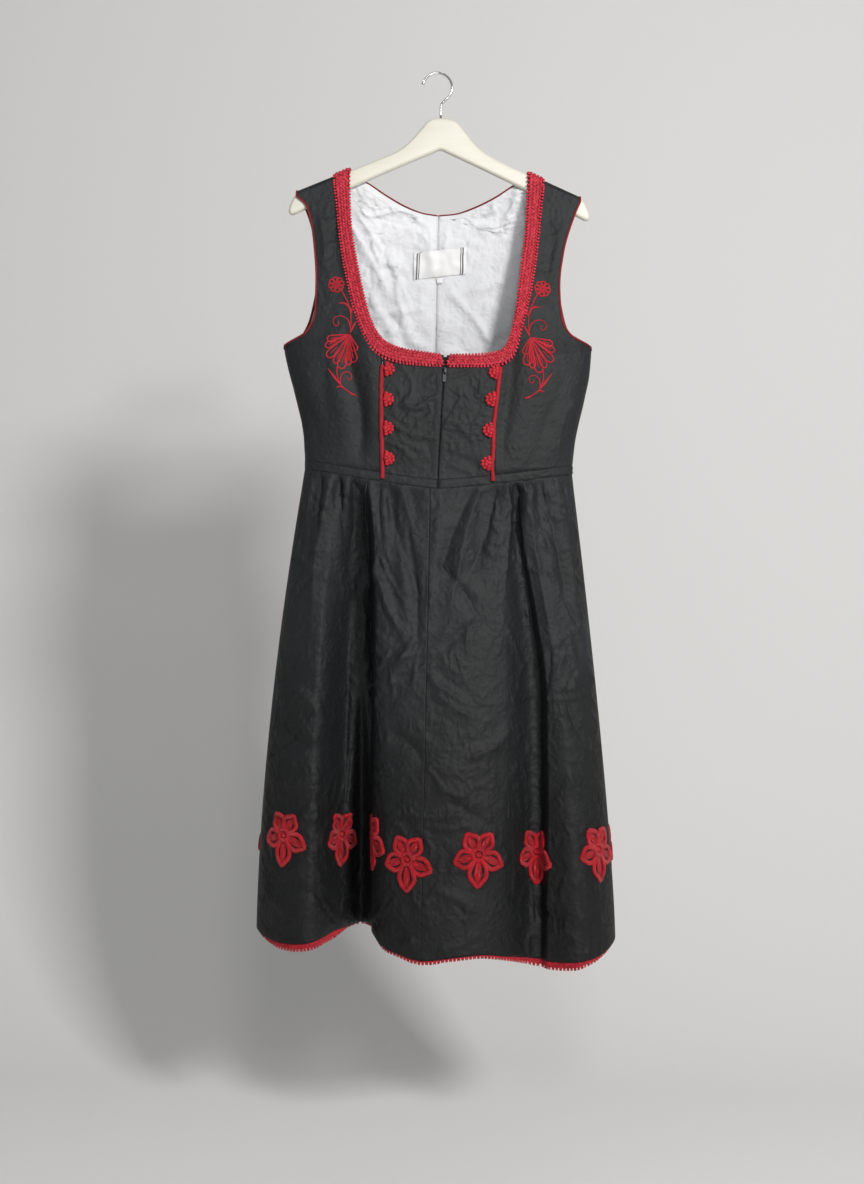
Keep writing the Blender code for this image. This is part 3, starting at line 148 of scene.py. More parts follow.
# The skirt's folds, from the left side seam round the front, the right side and the back: the angle where a
# fold leaves the waist, its place and drop at the hem, how quickly it springs out, and the lace below the hem
# waist degrees, hem x, hem y, hem drop, spring, lace
FOLDS = (
    (-90.0, -0.2475, 0.0150, 1.2660, 1.80, 0.001),
    (-74.0, -0.2330, -0.0120, 1.2740, 1.80, 0.004),
    (-60.0, -0.2010, -0.0450, 1.2760, 1.70, 0.010),
    (-49.0, -0.1640, -0.0610, 1.2715, 1.60, 0.011),
    (-39.0, -0.1270, -0.0350, 1.2610, 1.50, 0.011),
    (-34.0, -0.1110, 0.0180, 1.2625, 1.40, 0.003),
    (-31.0, -0.0940, 0.0440, 1.2615, 1.40, 0.003),
    (-28.5, -0.0790, 0.0160, 1.2590, 1.40, 0.003),
    (-25.5, -0.0730, -0.0460, 1.2590, 1.40, 0.002),
    (-21.0, -0.0580, -0.0760, 1.2705, 1.40, 0.004),
    (-14.0, -0.0360, -0.0930, 1.2770, 1.40, 0.005),
    (-2.0, -0.0030, -0.1080, 1.2825, 1.40, 0.006),
    (9.0, 0.0440, -0.1150, 1.2760, 1.40, 0.005),
    (18.0, 0.0850, -0.1060, 1.2730, 1.40, 0.005),
    (26.0, 0.1240, -0.0850, 1.2800, 1.40, 0.006),
    (34.0, 0.1700, -0.0600, 1.2900, 1.35, 0.011),
    (46.0, 0.2230, -0.0820, 1.2860, 1.30, 0.011),
    (62.0, 0.2590, -0.0580, 1.2790, 1.25, 0.004),
    (90.0, 0.2825, -0.0100, 1.2640, 1.25, 0.001),
    (108.0, 0.2680, 0.0380, 1.2640, 1.30, 0.004),
    (124.0, 0.2180, 0.0760, 1.2680, 1.40, 0.006),
    (138.0, 0.1640, 0.0620, 1.2620, 1.40, 0.006),
    (152.0, 0.1050, 0.0990, 1.2660, 1.40, 0.006),
    (168.0, 0.0450, 0.0860, 1.2630, 1.40, 0.006),
    (180.0, 0.0000, 0.1080, 1.2670, 1.40, 0.006),
    (194.0, -0.0560, 0.1190, 1.2680, 1.40, 0.006),
    (210.0, -0.1120, 0.0980, 1.2640, 1.50, 0.006),
    (226.0, -0.1640, 0.0790, 1.2620, 1.60, 0.006),
    (242.0, -0.2110, 0.0810, 1.2660, 1.70, 0.006),
    (256.0, -0.2400, 0.0520, 1.2660, 1.80, 0.003),
)
# Small gathers pressed into the waist: waist degrees, depth, half width in degrees, reach down the skirt
GATHERS = (
    (-62.0, 0.0030, 4.0, 0.28),
    (-44.0, 0.0035, 3.5, 0.40),
    (-15.5, 0.0040, 3.0, 0.45),
    (-8.0, 0.0030, 3.0, 0.30),
    (15.0, 0.0040, 3.5, 0.40),
    (30.0, 0.0035, 3.5, 0.50),
    (42.0, 0.0030, 3.5, 0.35),
    (64.0, 0.0030, 4.0, 0.30),
    (112.0, 0.0030, 4.0, 0.35),
    (130.0, 0.0030, 4.0, 0.45),
    (158.0, 0.0030, 4.0, 0.30),
    (202.0, 0.0030, 4.0, 0.35),
    (234.0, 0.0030, 4.0, 0.45),
    (252.0, 0.0030, 4.0, 0.30),
)

# place round the skirt in rows of FOLDS, drop
FLOWERS = (
    (1.82, 1.1200),
    (4.07, 1.1235),
    (7.98, 1.1206),
    (10.41, 1.1420),
    (12.75, 1.1326),
    (14.92, 1.1381),
    (17.04, 1.1299),
    (18.60, 1.1330),
    (20.20, 1.1300),
    (22.00, 1.1350),
    (23.75, 1.1300),
    (25.35, 1.1350),
    (27.05, 1.1300),
    (28.85, 1.1330),
)

# Trims
BRAID_LIFT, BRAID_THICK = 0.0008, 0.0022
BRAID_INNER, BRAID_OUTER, BRAID_CLEAR = 0.1320, 0.1530, 0.004
PIPING_HALF, PIPING_HIGH, PIPING_FOOT, PIPING_LIFT = 0.0032, 0.0034, 0.0006, 0.0009
PIPING_TOP, PIPING_END, PIPING_TURN = 0.4405, 0.0008, 27.0
EDGE_RADIUS = 0.0013
BUTTON_TALL, BUTTON_WIDE, BUTTON_HIGH, BUTTON_LIFT = 0.0100, 0.0118, 0.0050, 0.0005
BUTTON_FOOT, BUTTON_CLEAR, BUTTON_POLE = 0.0006, 0.0004, 0.04
BUTTON_DROPS = {-1: (0.4437, 0.4872, 0.5290, 0.5721), 1: (0.4447, 0.4840, 0.5287, 0.5762)}
LACE_THICK, LACE_LAP, LACE_SCALLOP = 0.0010, 0.0080, 0.0016
# Neck braid: inner edge and outer edge, from the shoulder to the zip
# inner x, inner drop, outer x, outer drop
BRAID = {
    -1: (
        (-0.1319, 0.1675, -0.1525, 0.1700),
        (-0.1300, 0.2000, -0.1480, 0.2020),
        (-0.1270, 0.2339, -0.1440, 0.2360),
        (-0.1200, 0.2720, -0.1378, 0.2760),
        (-0.1117, 0.3110, -0.1290, 0.3160),
        (-0.1040, 0.3420, -0.1210, 0.3480),
        (-0.0956, 0.3691, -0.1115, 0.3760),
        (-0.0865, 0.3880, -0.1010, 0.3980),
        (-0.0765, 0.4010, -0.0880, 0.4170),
        (-0.0640, 0.4090, -0.0700, 0.4280),
        (-0.0468, 0.4145, -0.0470, 0.4340),
        (-0.0180, 0.4187, -0.0180, 0.4365),
        (0.0090, 0.4222, 0.0125, 0.4376),
    ),
    1: (
        (0.1314, 0.1650, 0.1530, 0.1680),
        (0.1303, 0.2000, 0.1500, 0.2020),
        (0.1290, 0.2320, 0.1475, 0.2340),
        (0.1248, 0.2717, 0.1438, 0.2730),
        (0.1205, 0.3120, 0.1380, 0.3150),
        (0.1170, 0.3480, 0.1315, 0.3480),
        (0.1125, 0.3760, 0.1240, 0.3780),
        (0.1074, 0.3945, 0.1190, 0.4020),
        (0.1000, 0.4100, 0.1100, 0.4240),
        (0.0880, 0.4165, 0.0920, 0.4340),
        (0.0587, 0.4204, 0.0590, 0.4370),
        (0.0400, 0.4212, 0.0400, 0.4372),
        (0.0206, 0.4222, 0.0170, 0.4376),
    ),
}

# Zip, in the parting between the centre panels
ZIP_PART, ZIP_WIDE, ZIP_THICK, ZIP_SINK = 0.0022, 0.0034, 0.0011, 0.0002
SLIDER_WIDE, SLIDER_TALL, SLIDER_THICK, SLIDER_LIFT = 0.0056, 0.0090, 0.0024, 0.0006
SLIDER_DROP = 0.4450
ZIP_TOP, ZIP_END = 0.4240, 0.0004
BRIDGE_WIDE, BRIDGE_BAR, BRIDGE_FOOT, BRIDGE_SINK = 0.0016, 0.0008, 0.0010, 0.0005
WINDOW_TALL, WINDOW_DEEP = 0.0044, 0.0019
PULL_THICK, PULL_WIDE, PULL_LONG = 0.0009, 0.0050, 0.0150
PULL_ARM, PULL_WINDOW, PULL_CHAMFER, PULL_CORNER = 0.0009, 0.0042, 0.0004, 0.0015

# Labels on the lining: half width, half height, thickness
LABEL = (0.0039, 0.2735, 0.0392, 0.0200)
SIZE_TAB = (0.0039, 0.2990, 0.0048, 0.0045)
LABEL_THICK, LABEL_LIFT = 0.0006, 0.0006

# Hanger
WOOD_HALF, WOOD_ROUND = 0.0060, 0.0055
WOOD_SEAT = 0.0005
HOOK_WIRE, HOOK_BALL = 0.0017, 0.0026
HOOK_CENTRE_X, HOOK_CENTRE_DROP, HOOK_RADIUS = -0.0050, 0.0194, 0.0217
HOOK_TIP_DEGREES, HOOK_END_DEGREES = 166.0, -52.0
SHAFT_X, SHAFT_SINK, SHAFT_CLEAR = 0.0009, 0.0140, 0.0004
# The hanger hangs a little to the right of the hook
WOOD_SHIFT = 0.0015
# the hanger's upper edge near the middle: left x, right x, drop
HUMP = (
    (0.0000, 0.0000, 0.0648),
    (0.0120, 0.0130, 0.0662),
    (0.0205, 0.0235, 0.0708),
    (0.0300, 0.0338, 0.0820),
    (0.0420, 0.0455, 0.0965),
    (0.0560, 0.0585, 0.1095),
    (0.0720, 0.0735, 0.1192),
)
SEAT_X = (0.100, 0.1316, 0.170, 0.2000)
# The arm's end below the shoulder, and back along the lower edge
# x, drop
TIP = (
    (0.2105, 0.1810),
    (0.2165, 0.1900),
    (0.2205, 0.1995),
    (0.2218, 0.2065),
    (0.2200, 0.2108),
    (0.2150, 0.2118),
    (0.2050, 0.2072),
    (0.1700, 0.1900),
)
LOWER_X = (0.130, 0.090, 0.045, 0.012)
LOWER_SAG, NOTCH_ROUND = 0.0012, 0.0006
NOTCH_DROP = 0.1120

def smooth(rows, at, column):
    """A column's value on a curve through the rows, by their first column, that never overshoots."""
    firsts = [row[0] for row in rows]
    if at <= firsts[0]:
        return rows[0][column]
    if at >= firsts[-1]:
        return rows[-1][column]
    k = bisect_right(firsts, at) - 1
    slopes = []
    for i in (k, k + 1):
        if i == 0 or i == len(rows) - 1:
            j = min(i, len(rows) - 2)
            slopes.append((rows[j + 1][column] - rows[j][column]) / (firsts[j + 1] - firsts[j]))
            continue
        before = (rows[i][column] - rows[i - 1][column]) / (firsts[i] - firsts[i - 1])
        after = (rows[i + 1][column] - rows[i][column]) / (firsts[i + 1] - firsts[i])
        slopes.append(0.0 if before * after <= 0 else 2 * before * after / (before + after))
    span = firsts[k + 1] - firsts[k]
    t = (at - firsts[k]) / span
    a, b = rows[k][column], rows[k + 1][column]
    return (
        a * (1 + 2 * t) * (1 - t) ** 2
        + slopes[0] * span * t * (1 - t) ** 2
        + b * t * t * (3 - 2 * t)
        + slopes[1] * span * t * t * (t - 1)
    )


def ease(t):
    """0 to 1 with level ends."""
    t = min(max(t, 0.0), 1.0)
    return t * t * (3 - 2 * t)


def mix(a, b, t):
    return a + (b - a) * t


def body_row(drop):
    """Left side, centre front, right side, front depth and back depth at a drop."""
    return [smooth(BODY, drop, column) for column in range(1, 6)]


def side_and_middle(side, face, drop):
    left, centre, right, _, _ = body_row(drop)
    return (left if side < 0 else right), (centre if face == FRONT else 0.0)


def ring(side, face, degrees, drop):
    """A point of the body's outline: x and how far out it lies, at degrees from the middle to the side."""
    edge, middle = side_and_middle(side, face, drop)
    depth = body_row(drop)[3 if face == FRONT else 4]
    across, out = math.sin(math.radians(degrees)), math.cos(math.radians(degrees))
    x = middle + (edge - middle) * math.copysign(abs(across) ** ROUND, across)
    return x, depth * math.copysign(abs(out) ** ROUND, out)


def degrees_at(side, face, x, drop):
    """The angle on the body's outline where x lies."""
    edge, middle = side_and_middle(side, face, drop)
    share = (x - middle) / (edge - middle)
    turn = math.degrees(math.asin(min(abs(share), 1.0) ** (1 / ROUND)))
    return math.copysign(turn, share)


def shoulder(x):
    """The drop of the shoulder line at x."""
    return SHOULDER_DROP + SHOULDER_SLOPE * (abs(x) - SHOULDER_IN)


def waist_low(side, face, degrees):
    """The drop of the band's lower seam, which dips towards the middle."""
    share = abs(math.sin(math.radians(degrees))) ** ROUND
    return WAIST_SIDE + WAIST_DIP[face] * (1 - share**1.3)


def settled(side, face, degrees, drop):
    """A cloth point that leaves the shoulder's wrap and settles on the body's outline."""
    x, out = ring(side, face, degrees, drop)
    below = drop - shoulder(x)
    out = mix(SHOULDER_WRAP, out, ease((below - SHOULDER_WRAP) / SETTLE))
    return Vector((x, face * (out + SEAM / 2), -drop))


def edge_place(rows, side, share):
    column = 1 if side < 0 else 3
    return smooth(rows, share, column), smooth(rows, share, column + 1)


def side_piece(side, face, neck, armhole, inner_line):
    """A function of (u, v) for a piece with a shoulder: u from its inner to its outer edge, v below 1 round
    the shoulder's wrap and then 1 plus the share down the piece."""

    def inner_edge(share):
        last = neck[-1][0]
        if share <= last:
            return edge_place(neck, side, share)
        top = edge_place(neck, side, last)[1]
        bottom = waist_low(side, face, 0 if face == BACK else SEAM_TURN) - WAIST_BAND - WAIST_SEAM
        drop = mix(top, bottom, (share - last) / (1 - last))
        return inner_line(drop), drop

    def outer_edge(share):
        if share < UNDERARM:
            x, drop = edge_place(armhole, side, share)
            return degrees_at(side, face, x, drop), drop
        top = edge_place(armhole, side, UNDERARM)[1]
        bottom = WAIST_SIDE - WAIST_BAND - WAIST_SEAM
        return 90.0, mix(top, bottom, (share - UNDERARM) / (1 - UNDERARM))

    def point(u, v):
        share = max(v - 1, 0.0)
        inner_x, inner_drop = inner_edge(share)
        outer_degrees, outer_drop = outer_edge(share)
        degrees = mix(degrees_at(side, face, inner_x, inner_drop), outer_degrees, u)
        drop = mix(inner_drop, outer_drop, u)
        if share >= 1:
            drop = waist_low(side, face, degrees) - WAIST_BAND - WAIST_SEAM
        if v >= 1:
            return settled(side, face, degrees, drop)
        x, _ = ring(side, face, degrees, drop)
        turn = math.radians(90 * v)
        out = SHOULDER_WRAP * math.sin(turn)
        drop = shoulder(x) + SHOULDER_WRAP * (1 - math.cos(turn))
        return Vector((x, face * (out + SEAM / 2), -drop))

    return point


def centre_piece(side):
    """A function of (u, v) for a front centre panel: u from the zip to the piping's seam, v down."""

    def point(u, v):
        top = smooth(NECK_FRONT, u, 1 if side < 0 else 2)
        bottom = waist_low(side, FRONT, SEAM_TURN * u) - WAIST_BAND - WAIST_SEAM
        drop = mix(top, bottom, v)
        zip_x = smooth(FRONT_LINES, drop, 2) + side * ZIP_PART
        seam_x = smooth(FRONT_LINES, drop, 1 if side < 0 else 3) - side * SEAM / 2
        x = mix(zip_x, seam_x, u)
        return settled(side, FRONT, degrees_at(side, FRONT, x, drop), drop)

    return point


def fold_value(place, column):
    """A column of FOLDS at a place counted in its rows, on a smooth closed curve."""
    count = len(FOLDS)
    k = math.floor(place)
    rows = [FOLDS[(k + step) % count] for step in (-1, 0, 1, 2)]
    values = [row[column] for row in rows]
    if column == 0:
        values = [value + 360 * ((k + step) // count) for value, step in zip(values, (-1, 0, 1, 2))]
    spans = [max(math.dist(a[1:3], b[1:3]), 0.01) ** 0.5 for a, b in zip(rows, rows[1:])]
    t = place - k

    def slope(i):
        left = (values[i] - values[i - 1]) / spans[i - 1]
        right = (values[i + 1] - values[i]) / spans[i]
        return (left * spans[i] + right * spans[i - 1]) / (spans[i - 1] + spans[i])

    a, b = values[1], values[2]
    return (
        a * (1 + 2 * t) * (1 - t) ** 2
        + slope(1) * spans[1] * t * (1 - t) ** 2
        + b * t * t * (3 - 2 * t)
        + slope(2) * spans[1] * t * t * (t - 1)
    )


def waist_place(degrees):
    """Side, face and angle from the middle for an angle that runs right round the body."""
    degrees = (degrees + 180) % 360 - 180
    if abs(degrees) <= 90:
        return (-1 if degrees < 0 else 1), FRONT, abs(degrees)
    return (-1 if degrees < 0 else 1), BACK, 180 - abs(degrees)


def front_at(side, x, drop):
    """A point of the front and its outward normal at x and a drop, round the shoulder's wrap too."""

    def spot(x, fall):
        if fall < 1:
            turn = math.radians(90 * fall)
            drop = shoulder(x) + SHOULDER_WRAP * (1 - math.cos(turn))
            return Vector((x, -SHOULDER_WRAP * math.sin(turn) - SEAM / 2, -drop))
        drop = shoulder(x) + SHOULDER_WRAP + (fall - 1) * SETTLE
        return settled(side, FRONT, degrees_at(side, FRONT, x, drop), drop)

    below = drop - shoulder(x)
    if below < SHOULDER_WRAP:
        fall = math.degrees(math.acos(1 - max(below, 0.0) / SHOULDER_WRAP)) / 90
    else:
        fall = 1 + (below - SHOULDER_WRAP) / SETTLE
    along = spot(x + STEP, fall) - spot(x - STEP, fall)
    down = spot(x, fall + STEP) - spot(x, fall - STEP)
    return spot(x, fall), down.cross(along).normalized()




# Laying cloth
def lerp_rows(a, b, t):
    return a + (b - a) * t


def eased(t):
    t = np.clip(t, 0.0, 1.0)
    return t * t * (3 - 2 * t)


GATHER_DEPTH = 1.5


def skirt_rows(places, shares):
    """The skirt's plain surface as rows of points, from the waist's seam to the hem."""
    shares = np.asarray(shares)[:, None]
    columns = []
    for place in places:
        degrees = fold_value(place, 0)
        side, face, turn = waist_place(degrees)
        x, out = ring(side, face, turn, WAIST_SIDE)
        top = waist_low(side, face, turn) + SKIRT_SEAM
        hem = [fold_value(place, column) for column in (1, 2, 3, 4)]
        columns.append((degrees, x, out, face * (out + SEAM / 2), top, *hem))
    degrees, top_x, out, top_y, top, hem_x, hem_y, hem_drop, spring = np.array(columns).T
    press = np.zeros((len(shares), len(columns)))
    for at, depth, wide, reach in GATHERS:
        away = ((degrees - at + 180) % 360 - 180) / wide
        press += GATHER_DEPTH * depth * np.exp(-away * away) * eased(1 - shares / reach) * eased(shares / 0.03)
    sprung = 1 - np.maximum(1 - shares, 0.0) ** spring
    top_y = top_y * (1 - press / np.maximum(out, 0.03))
    x = top_x + (hem_x - top_x) * sprung
    y = top_y + (hem_y - top_y) * sprung
    z = -(top + (hem_drop - top) * shares)
    return np.stack(np.broadcast_arrays(x, y, z), axis=-1)


def surface_rows(point, us, vs):
    return np.array([[tuple(point(u, v)) for u in us] for v in vs])


def row_normals(points, turn):
    """The unit normals of rows of points, turned outwards."""
    across = np.gradient(points, axis=1)
    down = np.gradient(points, axis=0)
    found = np.cross(across, down) * turn
    return found / np.maximum(np.linalg.norm(found, axis=-1, keepdims=True), 1e-12)


def steps(start, stop, count):
    return [start + (stop - start) * k / count for k in range(count + 1)]


def wall_mesh(name, outer, inner, spread=None):
    """A closed wall between two sets of rows, with a UV map in metres along and down the cloth."""
    rows, columns = outer.shape[:2]
    points = np.concatenate([outer.reshape(-1, 3), inner.reshape(-1, 3)])
    r, c = np.meshgrid(np.arange(rows - 1), np.arange(columns - 1), indexing="ij")
    a = (r * columns + c).ravel()
    quads = np.stack([a, a + 1, a + columns + 1, a + columns], axis=1)
    back = quads[:, ::-1] + rows * columns
    rim = [k for k in range(columns)] + [columns - 1 + k * columns for k in range(1, rows)]
    rim += [(rows - 1) * columns + k for k in range(columns - 2, -1, -1)]
    rim += [k * columns for k in range(rows - 2, 0, -1)]
    rim = np.array(rim)
    after = np.roll(rim, -1)
    sides = np.stack([rim, rim + rows * columns, after + rows * columns, after], axis=1)
    faces = np.concatenate([quads, back, sides])
    mesh = bpy.data.meshes.new(name)
    mesh.from_pydata(points.tolist(), [], faces.tolist())
    work = bmesh.new()
    work.from_mesh(mesh)
    if work.calc_volume(signed=True) < 0:
        bmesh.ops.reverse_faces(work, faces=work.faces)
    work.to_mesh(mesh)
    work.free()
    along = np.cumsum(np.linalg.norm(np.diff(outer, axis=1, prepend=outer[:, :1]), axis=-1), axis=1)
    down = np.cumsum(np.linalg.norm(np.diff(outer, axis=0, prepend=outer[:1]), axis=-1), axis=0)
    along = along - along[:, columns // 2][:, None]
    flat = np.stack([along, -down], axis=-1).reshape(-1, 2)
    flat = np.concatenate([flat, flat])
    loops = np.empty(len(mesh.loops), np.int32)
    mesh.loops.foreach_get("vertex_index", loops)
    mesh.uv_layers.new(name="cloth").data.foreach_set("uv", flat[loops].ravel())
    mesh.shade_smooth()
    return mesh


def piece(mesh, finish, stands_for=(), body="dress"):
    """Links a finished mesh as a piece that rides on a body."""
    made = bpy.data.objects.new(mesh.name, mesh)
    bpy.context.scene.collection.objects.link(made)
    if finish:
        made.data.materials.clear()
        made.data.materials.append(finish)
    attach(made, body)
    if stands_for:
        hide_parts(*stands_for)
    return made


# Creases in the cloth: where each starts and ends as seen from the front, half width and height. Valleys are below 0
# x, drop, end x, end drop, half width, height
BODICE_CREASES = (
    (-0.150, 0.190, -0.138, 0.330, 0.014, -0.0020),
    (-0.176, 0.215, -0.160, 0.300, 0.010, 0.0015),
    (-0.168, 0.385, -0.150, 0.520, 0.011, -0.0018),
    (-0.205, 0.440, -0.165, 0.560, 0.010, -0.0014),
    (-0.172, 0.325, -0.158, 0.345, 0.006, -0.0012),
    (-0.124, 0.395, -0.104, 0.580, 0.015, -0.0085),
    (-0.092, 0.430, -0.086, 0.560, 0.008, 0.0012),
    (-0.060, 0.455, -0.020, 0.520, 0.009, 0.0010),
    (-0.050, 0.500, 0.000, 0.560, 0.009, -0.0012),
    (-0.066, 0.535, -0.025, 0.585, 0.008, 0.0010),
    (0.030, 0.440, 0.070, 0.500, 0.009, -0.0011),
    (0.022, 0.510, 0.066, 0.560, 0.009, 0.0010),
    (0.020, 0.560, 0.075, 0.590, 0.008, -0.0010),
    (0.165, 0.200, 0.160, 0.330, 0.013, -0.0020),
    (0.182, 0.220, 0.170, 0.300, 0.009, 0.0014),
    (0.172, 0.300, 0.184, 0.380, 0.008, -0.0016),
    (0.190, 0.395, 0.212, 0.430, 0.009, -0.0014),
    (0.185, 0.440, 0.150, 0.575, 0.012, -0.0018),
    (0.106, 0.390, 0.104, 0.575, 0.014, -0.0060),
    (0.205, 0.480, 0.175, 0.560, 0.009, 0.0012),
)
SKIRT_CREASES = (
    (-0.166, 0.596, -0.163, 0.680, 0.006, -0.0045),
    (-0.150, 0.600, -0.175, 0.820, 0.010, 0.0037),
    (-0.134, 0.598, -0.128, 0.690, 0.007, -0.0053),
    (-0.112, 0.600, -0.118, 0.740, 0.009, -0.0053),
    (-0.096, 0.602, -0.088, 0.760, 0.008, 0.0045),
    (-0.076, 0.603, -0.073, 0.700, 0.006, -0.0033),
    (-0.066, 0.606, -0.012, 0.800, 0.010, -0.0033),
    (-0.046, 0.606, -0.020, 0.720, 0.008, 0.0028),
    (-0.012, 0.850, -0.038, 0.640, 0.009, -0.0040),
    (0.014, 0.640, -0.004, 0.800, 0.010, 0.0020),
    (0.072, 0.606, 0.022, 0.790, 0.010, 0.0044),
    (0.058, 0.608, 0.006, 0.760, 0.009, -0.0033),
    (0.095, 0.605, 0.060, 0.740, 0.009, -0.0044),
    (0.106, 0.604, 0.110, 0.760, 0.007, 0.0053),
    (0.120, 0.603, 0.128, 0.700, 0.007, -0.0067),
    (0.140, 0.600, 0.176, 0.860, 0.011, 0.0045),
    (0.158, 0.598, 0.200, 0.780, 0.009, -0.0037),
    (0.180, 0.596, 0.226, 0.840, 0.010, 0.0034),
    (-0.090, 0.720, -0.030, 0.840, 0.009, 0.0042),
    (0.016, 0.720, 0.070, 0.800, 0.009, -0.0040),
    (-0.060, 0.860, 0.010, 0.850, 0.008, 0.0036),
    (0.002, 0.880, 0.060, 0.930, 0.008, 0.0040),
    (-0.010, 0.820, -0.060, 0.900, 0.010, 0.0038),
    (0.020, 0.840, 0.080, 0.800, 0.009, -0.0034),
    (0.010, 0.900, 0.075, 0.960, 0.010, 0.0034),
    (-0.050, 0.960, 0.000, 1.010, 0.011, -0.0034),
    (0.060, 1.000, 0.120, 0.960, 0.010, 0.0038),
    (0.030, 1.060, 0.090, 1.090, 0.010, -0.0029),
    (-0.190, 0.900, -0.150, 0.960, 0.010, 0.0038),
    (-0.215, 0.960, -0.160, 1.000, 0.010, -0.0034),
    (-0.200, 1.040, -0.140, 1.060, 0.010, 0.0032),
    (0.190, 0.900, 0.230, 0.980, 0.010, -0.0038),
    (0.200, 1.020, 0.240, 1.060, 0.010, 0.0032),
    (-0.200, 1.180, -0.130, 1.220, 0.010, -0.0025),
    (0.020, 1.180, 0.080, 1.215, 0.011, 0.0025),
    (0.120, 1.200, 0.200, 1.230, 0.010, -0.0029),
)
CRUMPLE_BODICE, CRUMPLE_CENTRE, CRUMPLE_SKIRT = 0.0012, 0.0032, 0.0024
CRUMPLE_SIZE, FINE_CRUMPLE_SIZE, FINE_SHARE = 0.032, 0.011, 0.62


def crease_relief(points, creases):
    """How far a set of creases lifts each point off the plain cloth."""
    x, drop = points[..., 0], -points[..., 2]
    lift = np.zeros(x.shape)
    for x0, drop0, x1, drop1, half, height in creases:
        run, fall = x1 - x0, drop1 - drop0
        length = math.hypot(run, fall)
        t = ((x - x0) * run + (drop - drop0) * fall) / length**2
        off = ((x - x0) * fall - (drop - drop0) * run) / length / half
        bend = 0.35 * np.sin(t * 5.1 + x0 * 90)
        off = off + bend
        ends = eased((t + 0.12) / 0.25) * eased((1.12 - t) / 0.45)
        shape = np.exp(-np.abs(off) ** 1.3 * 1.7) - 0.30 * np.exp(-((off - 1.7) ** 2)) - 0.22 * np.exp(-((off + 1.8) ** 2))
        lift += height * ends * shape
    return lift


def crumple(points, size, seed):
    """Sharp ridges with finer ones riding on them, as in crumpled cotton, from about -0.5 to 0.8."""
    flat = points.reshape(-1, 3)
    found = np.empty(len(flat))
    shift = Vector((seed * 3.7, seed * 1.3, seed * 5.9))
    for i, spot in enumerate(flat):
        at = Vector((spot[0] / (size * 1.2), spot[1] / size, spot[2] / (size * 0.9))) + shift
        at += noise.noise_vector(at * 0.55) * 0.75
        broad = 1 - 2.1 * abs(noise.noise(at))
        small = 1 - 2.1 * abs(noise.noise(at * 2.1 + shift))
        calm = min(max(noise.noise(at * 0.31 + shift) * 2.2 + 0.75, 0.15), 1.3)
        found[i] = calm * (0.8 * broad**3 + 0.35 * max(broad, 0.2) * small**3) - 0.15
    return found.reshape(points.shape[:-1])


def crumpled(points, high, size=CRUMPLE_SIZE):
    return high * (crumple(points, size, 3) + FINE_SHARE * crumple(points, size * FINE_CRUMPLE_SIZE / CRUMPLE_SIZE, 4))


def scattered(seed, count, low, high, lean, lengths, heights, halves=(0.006, 0.011)):
    """Creases scattered over a part of the cloth that the front view doesn't settle."""
    picker = random.Random(seed)
    rows = []
    for _ in range(count):
        x, drop = picker.uniform(low[0], high[0]), picker.uniform(low[1], high[1])
        turn = math.radians(picker.gauss(0.0, lean))
        length = picker.uniform(*lengths)
        height = picker.uniform(*heights) * picker.choice((-1, 1))
        rows.append(
            (x, drop, x + length * math.sin(turn), drop + length * math.cos(turn), picker.uniform(*halves), height)
        )
    return rows


# Finishes
def node(tree, kind, place=(0, 0), **values):
    made = tree.nodes.new(kind)
    made.location = place
    for key, value in values.items():
        if key in made.inputs:
            made.inputs[key].default_value = value
        else:
            setattr(made, key, value)
    return made


def link(tree, output, target):
    tree.links.new(output, target)


def finish(name, colour, rough, metal=0.0, **sockets):
    """A material with its own shader and a free node tree round it."""
    made = bpy.data.materials.new(name)
    made.use_nodes = True
    tree = made.node_tree
    shader = tree.nodes["Principled BSDF"]
    shader.inputs["Base Color"].default_value = (*colour, 1)
    shader.inputs["Roughness"].default_value = rough
    shader.inputs["Metallic"].default_value = metal
    for key, value in sockets.items():
        shader.inputs[key.replace("_", " ")].default_value = value
    return made, tree, shader


def group(name, inputs, outputs):
    """An empty shader group with named sockets: (name, kind, default)."""
    made = bpy.data.node_groups.new(name, "ShaderNodeTree")
    for label_text, kind, value in inputs:
        socket = made.interface.new_socket(label_text, in_out="INPUT", socket_type=kind)
        if value is not None:
            socket.default_value = value
    for label_text, kind in outputs:
        made.interface.new_socket(label_text, in_out="OUTPUT", socket_type=kind)
    entry = made.nodes.new("NodeGroupInput")
    leave = made.nodes.new("NodeGroupOutput")
    entry.location, leave.location = (-900, 0), (700, 0)
    return made, entry.outputs, leave.inputs


